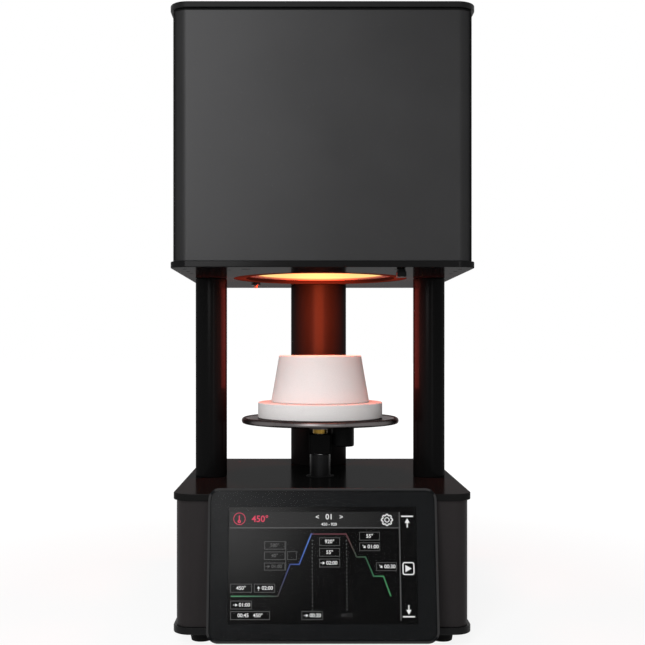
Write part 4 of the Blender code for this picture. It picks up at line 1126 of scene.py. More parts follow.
def corner_nodes(kind: str) -> list[str]:
    """Return the names of a kind of CAD node that stands at all four corners."""
    return [f"{kind}_{row}_{side}" for row in ("front", "rear") for side in ("left", "right")]


def tube_profile(inner: float, outer: float, low: float, high: float) -> list[tuple[float, float]]:
    """Return the profile of a plain tube, or of a disc where the inner radius is 0."""
    return [(inner, low), (outer, low), (outer, high), (inner, high)]


def rounded_plate(name: str, box: Box, corner: float, rim: float) -> Piece:
    """Return a plate in a box, with round corners and a softened rim."""
    return Bench.soften(Bench.slab(name, box.low, box.high, corner), rim, 3)


def wrapped_casing(name: str, node: str, plate: str, corner: float, wall: float) -> Piece:
    """Make a casing of wrapped sheet: a rounded box without ends, its wall turned inwards.

    Args:
        name: Name of the piece.
        node: The CAD node whose box it fills.
        plate: The CAD node of the plate that covers it.
        corner: Radius of that plate's corners.
        wall: Thickness of the sheet.

    Returns:
        The casing.
    """
    box = Box.of(node)
    inset = (Box.of(plate).size.x - box.size.x) / 2
    casing = Bench.slab(name, box.low, box.high, corner - inset, steps=16)
    with Bench.editing(casing):
        Bench.choose(casing, Element.FACE, lambda face: abs(face.normal.z) > STRAIGHT)
        bpy.ops.mesh.delete(type="FACE")
    modifier = casing.modifiers.new("wall", "SOLIDIFY")
    modifier.thickness = wall
    modifier.offset = -1.0
    modifier.use_even_offset = True
    Bench.apply(casing, modifier)
    return casing


class Shelf:
    """The finishes that more than one piece wears, each made once."""

    def __init__(self) -> None:
        """Build every finish and keep the axis of the lift and the chamber."""
        middle = Box.of("firing_plate").middle
        self.axis = (middle.x, middle.y, 0.0)
        port = tuple(Box.of("vacuum_port").middle)
        lying = (math.pi / 2, 0.0, 0.0)
        self.casing = Coating(
            "casing_lacquer", (0.028, 0.028, 0.0285), (0.35, 0.39), sheen_level=0.0, flakes=0.55,
            edge=(0.2, 0.2, 0.2),
        ).build()
        self.base = Coating(
            "base_lacquer", (0.022, 0.0198, 0.0202), (0.45, 0.52), gloss=0.06, gloss_roughness=0.4
        ).build()
        self.plate = Coating(
            "plate_lacquer", (0.008, 0.008, 0.0082), (0.4, 0.5), gloss=0.09, gloss_roughness=0.4
        ).build()
        self.deck = Coating(
            "deck_lacquer", (0.007, 0.007, 0.007), (0.4, 0.5), gloss=0.07, gloss_roughness=0.16,
            sheen_level=0.0,
        ).build()
        self.underside = Coating(
            "underside_lacquer", (0.006, 0.006, 0.0062), (0.35, 0.45), gloss=0.1, gloss_roughness=0.16,
            sheen_level=0.0,
        ).build()
        self.column = Coating(
            "column_lacquer", (0.004, 0.004, 0.0041), (0.35, 0.45), gloss=0.05, gloss_roughness=0.2,
            sheen_level=0.0,
        ).build()
        self.rear_column = Coating(
            "rear_column_lacquer", (0.005, 0.004, 0.004), (0.5, 0.6), gloss=0.05, gloss_roughness=0.32,
            sheen_level=0.0,
        ).build()
        self.plastic = Coating(
            "moulded_plastic", (0.005, 0.005, 0.0052), (0.45, 0.6), gloss=0.03, gloss_roughness=0.4,
            sheen_level=0.05, grain=2600.0, grain_depth=0.00002,
        ).build()
        self.rubber = Coating(
            "foot_rubber", (0.007, 0.007, 0.007), (0.7, 0.85), gloss=0.0, gloss_roughness=0.5,
            sheen_level=0.1, grain=1500.0, grain_depth=0.00004,
        ).build()
        self.bezel = Coating(
            "bezel_lacquer", (0.002, 0.0025, 0.003), (0.35, 0.45), gloss=0.13, gloss_roughness=0.26,
            sheen_level=0.0,
        ).build()
        self.gunmetal = TurnedMetal("gunmetal", (0.05, 0.05, 0.053), self.axis, roughness=(0.3, 0.4)).build()
        self.brass = TurnedMetal(
            "turned_brass", (0.22, 0.135, 0.028), self.axis, roughness=(0.25, 0.36)
        ).build()
        self.fitting = TurnedMetal("turned_fitting", (0.5, 0.5, 0.51), port, lying).build()
        self.rod = BrushedMetal("drawn_steel", (0.5, 0.5, 0.51)).build()
        self.sheet = BrushedMetal("bare_sheet", (0.6, 0.6, 0.62), stretch=(30.0, 1.0, 1.0)).build()
        self.bolt = BrushedMetal(
            "blackened_bolt", (0.025, 0.025, 0.026), stretch=(1.0, 1.0, 1.0), roughness=(0.3, 0.45)
        ).build()
        self.fibre = PressedFibre("pressed_fibre").build()


@dataclass(frozen=True)
class Fastener:
    """Socket screw with a low round head.

    radius and height are those of the head, socket and depth those of its hexagonal socket, and
    crown is the share of the height by which the head's edge is rounded.
    """

    radius: float
    height: float
    socket: float = 1.4 * MM
    depth: float = 1.1 * MM
    crown: float = 0.45

    def build(self, name: str, foot: Vector, axis: Axis, side: int) -> Piece:
        """Make one head.

        Args:
            name: Name of the piece.
            foot: Middle of the face that sits on the plate.
            axis: Direction of the screw.
            side: 1 if the head looks along the axis, -1 if against it.

        Returns:
            The head, in place.
        """
        out = axis.vector() * side
        head = Bench.rod(name, foot + out * self.height / 2, self.radius, self.height, axis, sides=28)
        with Bench.editing(head):
            Bench.choose(head, Element.FACE, Bench.facing(out))
            bpy.ops.mesh.bevel(offset=self.height * self.crown, segments=3, affect="EDGES")
        reach = self.height - self.depth / 2 + OVERRUN / 2
        hexagon = Bench.rod("socket", foot + out * reach, self.socket, self.depth + OVERRUN, axis, sides=6)
        return Bench.smooth(Bench.cut(head, hexagon), 40.0)


@dataclass
class Head:
    """The head's plates, casing and gasket, and what hangs under it.

    A name with from_side tells the distance from the plate's side, and one with _in or from_front
    the distance from its front or back. seam is the width and depth of the casing's seam, and
    screw_hole a radius. Lengths are in metres, here and in the classes below.
    """

    shelf: Shelf
    corner: float = CORNER
    sheet: float = SHEET
    rim: float = RIM
    room: float = ROOM
    mouth: float = MOUTH_REACH
    cover_screw: Fastener = Fastener(radius=3.4 * MM, height=1.2 * MM)
    screw_room: float = 0.15 * MM
    post_in: float = 24.0 * MM
    post_from_side: float = 22.0 * MM
    gasket_width: float = 4.0 * MM
    seam: tuple[float, float] = (0.5 * MM, 0.5 * MM)
    screw_from_side: float = 11.0 * MM
    screw_from_front: float = 22.0 * MM
    screw_step: float = 27.5 * MM
    screw_hole: float = 1.9 * MM
    side_screw: Fastener = Fastener(radius=1.75 * MM, height=1.2 * MM, socket=0.9 * MM, depth=0.8 * MM)
    screw_sunk: float = 1.6 * MM
    front_screw_from_side: float = 49.0 * MM
    front_screw_in: float = 32.0 * MM
    slot_from_side: float = 63.7 * MM
    slot_in: float = 23.0 * MM
    slot_length: float = 7.5 * MM
    slot_width: float = 4.0 * MM
    rear_slot_from_side: float = 80.0 * MM
    rear_slot_in: float = 12.0 * MM
    rear_slot_length: float = 60.0 * MM
    sensor_neck: float = 0.7 * MM
    sensor_neck_height: float = 2.2 * MM
    sensor_edge: float = 0.25 * MM
    clip_cap: float = 1.6 * MM
    clip_pin: float = 2.3 * MM
    clip_chamfer: float = 0.4 * MM
    clip_edge: float = 0.15 * MM

    def build_cover(self) -> None:
        """Make the cover plate with its four screws, and the gasket below it."""
        box = Box.of("head_top_plate")
        cover = rounded_plate("head_top_plate_piece", box, self.corner, self.rim)
        seat(cover, self.shelf.plate, nodes=["head_top_plate"])
        first = Vector((box.low.x + self.post_from_side, box.low.y + self.post_in, box.high.z))
        screw = self.cover_screw
        wide = box.size.x - 2 * self.post_from_side
        deep = box.size.y - 2 * self.post_in
        places = [Vector((0, 0, 0)), Vector((wide, 0, 0)), Vector((0, deep, 0)), Vector((wide, deep, 0))]
        for place in places:
            Bench.drill(cover, first + place, screw.radius + self.screw_room, 2 * screw.height)
        head = screw.build("cover_screw", first - Vector((0, 0, screw.height)), Axis.Z, 1)
        for copy in Bench.repeat(head, places[1:]):
            seat(copy, self.shelf.bolt)
        ring = Box.of("top_gasket")
        radius = self.corner - (box.size.x / 2 - ring.size.x / 2)
        gasket = Bench.slab("gasket", ring.low, ring.high, radius)
        wall = Vector((self.gasket_width, self.gasket_width, -OVERRUN))
        hollow = Bench.slab("hollow", ring.low + wall, ring.high - wall, radius - self.gasket_width)
        seat(Bench.smooth(Bench.cut(gasket, hollow)), self.shelf.rubber, nodes=["top_gasket"])

    def build_casing(self) -> None:
        """Make the wrapped casing with the seam down its back."""
        box = Box.of("head_shell")
        casing = wrapped_casing("head_casing", "head_shell", "head_top_plate", self.corner, self.sheet)
        width, depth = self.seam
        low = Vector((-width / 2, box.high.y - depth, box.low.z - OVERRUN))
        high = Vector((width / 2, box.high.y + OVERRUN, box.high.z + OVERRUN))
        Bench.cut(casing, Bench.block("seam", low, high))
        seat(Bench.smooth(casing), self.shelf.casing, nodes=["head_shell"])

    def underside_cutters(self, box: Box) -> list[Piece]:
        """Return the cutters for the base plate's mouth, holes and slots.

        Args:
            box: The plate's box.

        Returns:
            The cutters.
        """
        height = 4 * box.size.z
        level = box.middle.z
        ring = Box.of("seal_flange").middle
        radius = Box.of("firing_plate").size.x / 2 + self.mouth + self.room
        cutters = [Bench.rod("mouth", Vector((ring.x, ring.y, level)), radius, height, sides=128)]
        half = box.size.x / 2
        for side in (-1, 1):
            holes = []
            for step in range(3):
                inward = self.screw_from_front + step * self.screw_step
                holes += [(self.screw_from_side, y) for y in (box.low.y + inward, box.high.y - inward)]
            holes.append((self.front_screw_from_side, box.low.y + self.front_screw_in))
            for from_side, y in holes:
                spot = Vector((side * (half - from_side), y, level))
                cutters.append(Bench.rod("hole", spot, self.screw_hole, height, sides=24))
            slots = [
                (self.slot_from_side, box.low.y + self.slot_in, self.slot_length),
                (self.rear_slot_from_side, box.high.y - self.rear_slot_in, self.rear_slot_length),
            ]
            for from_side, y, length in slots:
                spot = Vector((side * (half - from_side), y, level))
                reach = Vector((length / 2, self.slot_width / 2, height / 2))
                cutters.append(Bench.slab("slot", spot - reach, spot + reach, self.slot_width / 3))
        return cutters

    def build_underside(self) -> None:
        """Make the head's base plate with its mouth, screw holes and slots, and the screws in it."""
        box = Box.of("head_base_plate")
        plate = rounded_plate("head_underside", box, self.corner, self.rim)
        Bench.cut(plate, *self.underside_cutters(box))
        seat(Bench.smooth(plate), self.shelf.underside, nodes=["head_base_plate"])
        half = box.size.x / 2
        low = Vector((-half, box.low.y, box.low.z))
        first = low + Vector((self.screw_from_side, self.screw_from_front, self.screw_sunk))
        head = self.side_screw.build("underside_screw", first, Axis.Z, -1)
        rows = [step * self.screw_step for step in range(3)]
        depth = box.size.y - 2 * self.screw_from_front
        rows += [depth - row for row in rows]
        shifts = [Vector((0, row, 0)) for row in rows[1:]]
        shifts += [Vector((2 * (half - self.screw_from_side), row, 0)) for row in rows]
        for screw in Bench.repeat(head, shifts):
            seat(screw, self.shelf.bolt)

    def build_sensor(self) -> None:
        """Make the sensor block under the head, its upper part set in a little."""
        box = Box.of("sensor_block")
        sensor = Bench.block("sensor", box.low, box.high)
        rise = Vector((0, 0, self.sensor_neck_height))
        with Bench.editing(sensor):
            Bench.choose(sensor, Element.FACE, Bench.facing(Axis.Z.vector()))
            bpy.ops.transform.translate(value=-rise)
            bpy.ops.mesh.inset(thickness=self.sensor_neck)
            Bench.extrude(rise)
        Bench.soften(sensor, self.sensor_edge)
        seat(sensor, self.shelf.plastic, nodes=["sensor_block"])

    def build_clip(self) -> None:
        """Turn the locating clip's cap and its copper pin."""
        box = Box.of("locating_clip")
        drop = box.size.z - self.clip_cap
        profile = tube_profile(0, box.size.x / 2, drop, box.size.z)
        clip = Bench.turned("clip", profile, box.foot, sides=40, closed=False)
        Bench.soften(clip, self.clip_edge)
        seat(clip, self.shelf.gunmetal, nodes=["locating_clip"])
        pin = self.clip_pin
        profile = [(0, 0), (pin - self.clip_chamfer, 0), (pin, self.clip_chamfer), (pin, drop), (0, drop)]
        tip = Bench.turned("clip_pin", profile, box.foot, sides=40, closed=False)
        copper = TurnedMetal("pin_copper", (0.6, 0.17, 0.1), tuple(box.foot), edge=(0.9, 0.5, 0.4))
        seat(Bench.soften(tip, self.clip_edge), copper.build())

    def build(self) -> None:
        """Build and dress the whole head."""
        self.build_cover()
        self.build_casing()
        self.build_underside()
        self.build_sensor()
        self.build_clip()
        dress(self.shelf.rod, *corner_nodes("head_post"))


@dataclass
class Chamber:
    """The firing chamber: mouth ring, collar, glowing tube, lid and insulation.

    mouth is how far the mouth ring reaches beyond the firing plate, overlap how far its upper
    flange reaches further out, and collar_lip the height of the shaded foot of the collar's bore.
    """

    shelf: Shelf
    mouth: float = MOUTH_REACH
    ring_width: float = 12.1 * MM
    ring_edge: float = 0.35 * MM
    collar_width: float = 9.6 * MM
    collar_edge: float = 0.4 * MM
    collar_lip: float = 1.2 * MM
    overlap: float = 7.7 * MM
    tube_edge: float = 0.3 * MM
    coil_turns: int = 5
    wire_pitch: float = 4.0 * MM
    room: float = ROOM

    @property
    def face(self) -> float:
        """Return the outer radius of the mouth ring's face."""
        return Box.of("firing_plate").size.x / 2 + self.mouth

    @property
    def inner(self) -> float:
        """Return the inner radius of the mouth ring."""
        return self.face - self.ring_width

    @property
    def bore(self) -> float:
        """Return the radius of the chamber's bore."""
        return self.inner - self.room - self.collar_width

    def turn(self, name: str, profile: Outline, edge: float, steps: int) -> Piece:
        """Turn one of the chamber's rings about its axis and round its edges."""
        return Bench.soften(Bench.turned(name, profile, Vector(self.shelf.axis), sides=144), edge, steps)

    def build_ring(self) -> None:
        """Make the mouth ring, which stands through the head's base plate."""
        box = Box.of("seal_flange")
        upper = self.face + self.overlap
        ledge = Box.of("head_base_plate").high.z + self.room
        profile = [(self.inner, box.low.z), (self.face, box.low.z), (self.face, ledge)]
        profile += [(upper, ledge), (upper, box.high.z), (self.inner, box.high.z)]
        ring = self.turn("mouth_ring", profile, self.ring_edge, 2)
        # Painted light: the ring's emission stands in for the chamber's red light on it, and shade is
        # painted dark in its bore
        shade = (0.03, 0.004, 0.002)
        finish = RingWithPaintedGlow(
            "mouth_ring_steel_painted_glow", (0.015, 0.006, 0.005), self.shelf.axis, self.inner, self.face,
            painted_glow_inner=(0.1, 0.013, 0.006), painted_glow_outer=(0.06, 0.008, 0.004), bore=shade, lip=box.low.z, edge=shade,
            roughness=(0.28, 0.4),
        )
        seat(ring, finish.build(), nodes=["seal_flange"])

    def build_collar(self) -> None:
        """Make the lit collar inside the mouth ring."""
        box = Box.of("chamber_collar")
        spigot = self.inner - self.room
        outer = box.size.x / 2
        ledge = Box.of("seal_flange").high.z + self.room
        profile = [(self.bore, box.low.z), (spigot, box.low.z), (spigot, ledge), (outer, ledge)]
        profile += [(outer, box.high.z), (self.bore, box.high.z)]
        collar = self.turn("collar", profile, self.collar_edge, 3)
        # Painted light: emission stands in for the tube's yellow light up the collar's bore and red light on
        # its face, with painted shade at the bore's foot
        finish = RingWithPaintedGlow(
            "collar_fibre_painted_glow", (0.3, 0.14, 0.11), self.shelf.axis, self.bore, spigot,
            painted_glow_inner=(0.22, 0.055, 0.04), painted_glow_outer=(0.08, 0.012, 0.008), bore=(0.88, 0.71, 0.25),
            lip=box.low.z + self.collar_lip, edge=(0.32, 0.1, 0.05), roughness=(0.6, 0.75),
        )
        seat(collar, finish.build(), nodes=["chamber_collar"])

    def build_tube(self) -> None:
        """Make the glowing tube and light the lid and the coil."""
        box = Box.of("muffle")
        profile = tube_profile(self.bore, box.size.x / 2, box.low.z, box.high.z)
        tube = self.turn("quartz_tube", profile, self.tube_edge, 2)
        tube.visible_diffuse = False
        coil = Box.of("heating_coil")
        start = (self.shelf.axis[0], self.shelf.axis[1], coil.low.z)
        finish = GlowingTube("lit_quartz", start, coil.size.z / self.coil_turns)
        seat(tube, finish.build(), nodes=["muffle"])
        lid = PressedFibre("glowing_lid", glow=(0.97, 0.75, 0.3), strength=0.95)
        dress(lid.build(), "insulation_lid")
        wire = GlowingTube(
            "glowing_wire", start, self.wire_pitch, bright=(1.0, 0.5, 0.12), dim=(0.95, 0.35, 0.08),
            strength=1.5,
        )
        dress(wire.build(), "heating_coil")

    def build(self) -> None:
        """Build and dress the chamber."""
        self.build_ring()
        self.build_collar()
        self.build_tube()
        dress(self.shelf.fibre, "insulation_ring", "thermocouple")
        dress(self.shelf.sheet, "chamber_vessel")
        dress(self.shelf.rod, "terminal_lower", "terminal_upper")


@dataclass
class Columns:
    """Two slim front columns and the wide rear one, each with the radius of its bore."""

    shelf: Shelf
    front_bore: float = 11.0 * MM
    rear_bore: float = 26.0 * MM
    rim: float = 0.5 * MM

    def column(self, node: str, bore: float, material: Material, slot: str) -> None:
        """Turn one column.

        Args:
            node: The CAD node it stands for.
            bore: Its inner radius.
            material: Its finish.
            slot: Not used.
        """
        box = Box.of(node)
        profile = tube_profile(bore, box.size.x / 2, 0, box.size.z)
        piece = Bench.turned(f"{node}_tube", profile, box.foot, sides=96)
        seat(Bench.soften(piece, self.rim, 3), material, nodes=[node])

    def build(self) -> None:
        """Build and dress the columns and the rods inside them."""
        for node in ("column_left", "column_right"):
            self.column(node, self.front_bore, self.shelf.column, "column_black")
        self.column("column_rear", self.rear_bore, self.shelf.rear_column, "rear_column")
        dress(self.shelf.rod, "tie_rod_left", "tie_rod_right", "vacuum_line")


@dataclass
class Lift:
    """The lift: guide, screw, sleeve and rod, and the platform that they carry.

    cord, boss, spindle, nut, guide_rim and guide_body are radii, groove_from_rim is the distance of
    the seal's middle from the plate's rim, and cord_seat how far the seal's cord is pressed flat.
    """

    shelf: Shelf
    room: float = ROOM
    rim: float = 1.6 * MM
    rim_facets: int = 12
    plate_edge: float = 0.25 * MM
    groove_from_rim: float = 2.6 * MM
    cord: float = 1.3 * MM
    cord_seat: float = 0.1 * MM
    boss: float = 10.8 * MM
    spindle: float = 5.3 * MM
    hub_edge: float = 1.8 * MM
    soft_edge: float = 0.3 * MM
    pod_rim: float = 1.5 * MM
    pod_edge: float = 0.25 * MM
    nut: float = 4.3 * MM
    nut_height: float = 8.0 * MM
    sleeve_wall: float = 2.7 * MM
    sleeve_edge: float = 0.35 * MM
    guide_rim: float = 13.5 * MM
    guide_body: float = 16.0 * MM
    guide_flange: float = 5.0 * MM

    def build_plate(self) -> None:
        """Turn the firing plate with its rounded rim, seal groove and boss."""
        box = Box.of("firing_plate")
        radius = box.size.x / 2
        top = box.high.z
        low = Box.of("switch_pod").high.z + self.room
        thickness = top - low
        ring = radius - self.groove_from_rim
        half = self.cord + self.room
        floor = Box.of("plate_seal").low.z - self.room
        rim = []
        for step in range(self.rim_facets + 1):
            angle = math.pi * (step / self.rim_facets - 0.5)
            height = top - thickness / 2 + thickness / 2 * math.sin(angle)
            rim.append((radius - self.rim + self.rim * math.cos(angle), height))
        ceiling = Box.of("lift_rod").high.z + self.room
        profile = [(0, ceiling), (self.spindle, ceiling), (self.spindle, box.low.z)]
        profile += [(self.boss, box.low.z), (self.boss, low), *rim, (ring + half, top), (ring + half, floor)]
        profile += [(ring - half, floor), (ring - half, top), (0, top)]
        foot = Vector((box.middle.x, box.middle.y, 0.0))
        plate = Bench.turned("firing_plate_turned", profile, foot, sides=160, closed=False)
        finish = TurnedMetal(
            "firing_plate_metal", (0.12, 0.11, 0.11), self.shelf.axis, pitch=520.0, depth=0.000012,
            roughness=(0.24, 0.34), edge=(0.25, 0.22, 0.22),
        )
        Bench.soften(plate, self.plate_edge)
        seat(plate, finish.build(), Body.PLATFORM, ["firing_plate"])

    def build_seal(self) -> None:
        """Lay the sealing ring into the plate's groove, its underside pressed flat."""
        box = Box.of("plate_seal")
        ring = Box.of("firing_plate").size.x / 2 - self.groove_from_rim
        Bench.clear()
        bpy.ops.mesh.primitive_torus_add(
            location=box.middle, major_radius=ring, minor_radius=self.cord, major_segments=160,
            minor_segments=16,
        )
        cord = Bench.added("seal_ring")
        level = box.low.z + 2 * self.cord_seat
        with Bench.editing(cord):
            Bench.choose(cord, Element.VERTEX, lambda vertex: vertex.co.z < level)
            bpy.ops.transform.resize(
                value=(1, 1, 0), center_override=Vector((0, 0, box.low.z + self.cord_seat))
            )
        seat(Bench.smooth(cord), self.shelf.rubber, Body.PLATFORM, ["plate_seal"])

    def build_hub(self) -> None:
        """Make the hub with its bush."""
        box = Box.of("hub_block")
        hub = Bench.block("hub", box.low, box.high)
        with Bench.editing(hub):
            Bench.choose(hub, Element.EDGE, Bench.running(Axis.Z))
            bpy.ops.mesh.bevel(offset=self.hub_edge, segments=1, affect="EDGES")
        Bench.soften(hub, self.soft_edge)
        Bench.drill(hub, box.middle, self.spindle, 2 * box.size.z, sides=48)
        seat(Bench.smooth(hub), self.shelf.column, Body.PLATFORM, ["hub_block"])
        box = Box.of("brass_bush")
        profile = tube_profile(self.spindle, box.size.x / 2, 0, box.size.z)
        bush = Bench.soften(Bench.turned("bush", profile, box.foot, sides=64), self.soft_edge)
        seat(bush, self.shelf.brass, Body.PLATFORM, ["brass_bush"])

    def build_pod(self) -> None:
        """Turn the pod that hangs beside the hub, with a well rounded lower rim."""
        box = Box.of("switch_pod")
        foot = box.foot
        radius = box.size.x / 2
        pod = Bench.turned("pod", tube_profile(0, radius, 0, box.size.z), foot, sides=72, closed=False)

        def on_rim(edge: bmesh.types.BMEdge) -> bool:
            """Say whether an edge is part of the lower rim."""
            return all(
                abs(vertex.co.z - box.low.z) < TINY and (vertex.co - foot).length > radius / 2
                for vertex in edge.verts
            )

        with Bench.editing(pod):
            Bench.choose(pod, Element.EDGE, on_rim)
            bpy.ops.mesh.bevel(offset=self.pod_rim, segments=5, affect="EDGES")
        Bench.soften(pod, self.pod_edge)
        seat(pod, self.shelf.plastic, Body.PLATFORM, ["switch_pod"])

    def build_stages(self) -> None:
        """Turn the sleeve and the guide that it slides in."""
        foot = Vector(self.shelf.axis)
        box = Box.of("lift_sleeve")
        radius = box.size.x / 2
        bore = radius - self.sleeve_wall
        nut_top = box.low.z + self.nut_height
        profile = [(self.nut, box.low.z), (radius, box.low.z), (radius, box.high.z), (bore, box.high.z)]
        profile += [(bore, nut_top), (self.nut, nut_top)]
        sleeve = Bench.soften(Bench.turned("sleeve", profile, foot, sides=72), self.sleeve_edge)
        dark = BrushedMetal("sleeve_steel", (0.014, 0.014, 0.0145), roughness=(0.3, 0.42)).build()
        seat(sleeve, dark, Body.SLEEVE, ["lift_sleeve"])
        box = Box.of("lift_guide")
        bore = radius + self.room
        wide = box.size.x / 2
        flange_top = Box.of("base_top_plate").low.z - self.room
        flange_low = flange_top - self.guide_flange
        profile = [(bore, box.low.z), (self.guide_body, box.low.z), (self.guide_body, flange_low)]
        profile += [(wide, flange_low), (wide, flange_top), (self.guide_rim, flange_top)]
        profile += [(self.guide_rim, box.high.z), (bore, box.high.z)]
        guide = Bench.soften(Bench.turned("guide", profile, foot, sides=72), self.soft_edge)
        seat(guide, self.shelf.plastic, nodes=["lift_guide"])

    def build(self) -> None:
        """Build and dress the lift."""
        self.build_plate()
        self.build_seal()
        self.build_hub()
        self.build_pod()
        self.build_stages()
        dress(self.shelf.rod, "lift_rod", "lift_screw")
        dress(self.shelf.gunmetal, "lift_motor")


@dataclass
class Pedestal:
    """The white firing pedestal: a disc and a blunt cone, each hollowed below inside a rim.

    relief_rim is the width of that rim out to the cone's foot, and relief the hollow's depth.
    """

    shelf: Shelf
    edge: float = 0.9 * MM
    relief_rim: float = 18.2 * MM
    relief: float = 3.0 * MM
    cone_step: float = 12.8 * MM
    cone_taper: float = 7.9 * MM

    def build(self) -> None:
        """Build and dress the pedestal."""
        radius = Box.of("pedestal_base").size.x / 2
        cone_foot = radius - self.cone_step
        hollow = cone_foot - self.relief_rim
        parts = (
            ("pedestal_disc", "pedestal_base", radius, radius),
            ("pedestal_block", "pedestal_cone", cone_foot, cone_foot - self.cone_taper),
        )
        for name, node, low, high in parts:
            box = Box.of(node)
            profile = [(0, self.relief), (hollow, self.relief), (hollow, 0)]
            profile += [(low, 0), (high, box.size.z), (0, box.size.z)]
            piece = Bench.turned(name, profile, box.foot, sides=128, closed=False)
            Bench.soften(piece, self.edge, 4)
            seat(piece, self.shelf.fibre, Body.PEDESTAL, [node])


@dataclass
class Base:
    """The base casing with its feet, what it holds and its rear fittings.

    foot_tip, foot_stud, port_bore, port_shank and the holes are radii, foot_recess is a radius and
    a depth, intake the length and width of an air slot, and each window a width and a height.
    """

    shelf: Shelf
    corner: float = CORNER
    sheet: float = SHEET
    rim: float = RIM
    room: float = ROOM
    foot_tip: float = 9.0 * MM
    foot_recess: tuple[float, float] = (4.0 * MM, 4.0 * MM)
    foot_stud: float = 2.5 * MM
    foot_edge: float = 0.5 * MM
    intake: tuple[float, float] = (40.0 * MM, 3.0 * MM)
    intake_corner: float = 1.4 * MM
    intake_pitch: float = 8.0 * MM
    intake_from_back: float = 60.0 * MM
    stud_hole: float = 2.8 * MM
    guide_hole: float = 13.8 * MM
    duct_hole: float = 12.0 * MM
    rod_hole: float = 5.3 * MM
    grille_slots: int = 7
    grille_pitch: float = 7.0 * MM
    grille_width: float = 3.5 * MM
    grille_height: float = 46.0 * MM
    inlet_window: tuple[float, float] = (31.6 * MM, 53.6 * MM)
    socket_window: tuple[float, float] = (15.1 * MM, 8.1 * MM)
    port_hole: float = 4.3 * MM
    mount_hole: float = 10.3 * MM
    port_bore: float = 2.0 * MM
    port_shank: float = 4.0 * MM
    port_flange: float = 3.0 * MM
    port_edge: float = 0.2 * MM
    barbs: int = 3
    barb_rise: float = 0.9 * MM
    fan_screw: Fastener = Fastener(radius=2.6 * MM, height=1.3 * MM, socket=1.2 * MM, depth=0.9 * MM)
    fan_screw_reach: float = 25.0 * MM

    def build_feet(self) -> None:
        """Turn the rubber feet."""
        hollow, recess = self.foot_recess
        level = Box.of("base_bottom_plate").low.z - self.room
        for node in corner_nodes("foot"):
            box = Box.of(node)
            foot = Vector((box.middle.x, box.middle.y, 0.0))
            profile = [(0, recess), (hollow, recess), (hollow, 0), (self.foot_tip, 0)]
            profile += [(box.size.x / 2, level), (self.foot_stud, level)]
            profile += [(self.foot_stud, box.high.z), (0, box.high.z)]
            piece = Bench.turned(f"{node}_rubber", profile, foot, sides=56, closed=False)
            seat(Bench.soften(piece, self.foot_edge, 3), self.shelf.rubber, nodes=[node])

    def build_floor(self) -> None:
        """Make the bottom plate with its air slots and the holes for the feet."""
        box = Box.of("base_bottom_plate")
        bottom = rounded_plate("base_floor_plate", box, self.corner, self.rim)
        fan = Box.of("fan_frame").middle
        length, width = self.intake
        reach = Vector((length / 2, width / 2, box.size.z))
        for number in (-1, 0, 1):
            y = box.high.y - self.intake_from_back + number * self.intake_pitch
            spot = Vector((fan.x, y, box.middle.z))
            slot = Bench.slab("intake", spot - reach, spot + reach, self.intake_corner, steps=6)
            Bench.cut(bottom, slot)
        for node in corner_nodes("foot"):
            stud = Box.of(node).middle
            Bench.drill(bottom, Vector((stud.x, stud.y, box.middle.z)), self.stud_hole, 2 * box.size.z)
        seat(Bench.smooth(bottom), self.shelf.plate, nodes=["base_bottom_plate"])

    def build_deck(self) -> None:
        """Make the deck that the columns stand on, with the holes for what passes through it."""
        box = Box.of("base_top_plate")
        deck = rounded_plate("base_deck", box, self.corner, self.rim)
        holes = (
            (Vector(self.shelf.axis), self.guide_hole, 96),
            (Box.of("vacuum_valve").middle, self.duct_hole, 64),
            (Box.of("tie_rod_left").middle, self.rod_hole, 32),
            (Box.of("tie_rod_right").middle, self.rod_hole, 32),
        )
        for place, radius, sides in holes:
            spot = Vector((place.x, place.y, box.middle.z))
            Bench.drill(deck, spot, radius, 2 * box.size.z, sides=sides)
        seat(Bench.smooth(deck), self.shelf.deck, nodes=["base_top_plate"])

    def build_casing(self) -> None:
        """Make the wrapped base casing and cut its openings."""
        box = Box.of("base_shell")
        casing = wrapped_casing("base_casing", "base_shell", "base_top_plate", self.corner, self.sheet)
        fan = Box.of("fan_frame").middle
        back = box.high.y - self.sheet / 2
        reach = Vector((self.grille_width / 2, self.sheet, self.grille_height / 2))
        for number in range(self.grille_slots):
            x = fan.x + (number - (self.grille_slots - 1) / 2) * self.grille_pitch
            spot = Vector((x, back, fan.z))
            slot = Bench.slab("vent", spot - reach, spot + reach, self.grille_width / 2.1, Axis.Y, 6)
            Bench.cut(casing, slot)
        for node, window in (("power_inlet", self.inlet_window), ("data_socket", self.socket_window)):
            middle = Box.of(node).middle
            reach = Vector((window[0] / 2, self.sheet, window[1] / 2))
            spot = Vector((middle.x, back, middle.z))
            Bench.cut(casing, Bench.block("window", spot - reach, spot + reach))
        port = Box.of("vacuum_port").middle
        Bench.drill(casing, Vector((port.x, back, port.z)), self.port_hole, 4 * self.sheet, Axis.Y)
        mount = Box.of("panel_mount_sleeve").middle
        front = Vector((mount.x, box.low.y + self.sheet / 2, mount.z))
        Bench.drill(casing, front, self.mount_hole, 4 * self.sheet, Axis.Y, 48)
        seat(Bench.smooth(casing), self.shelf.base, nodes=["base_shell"])

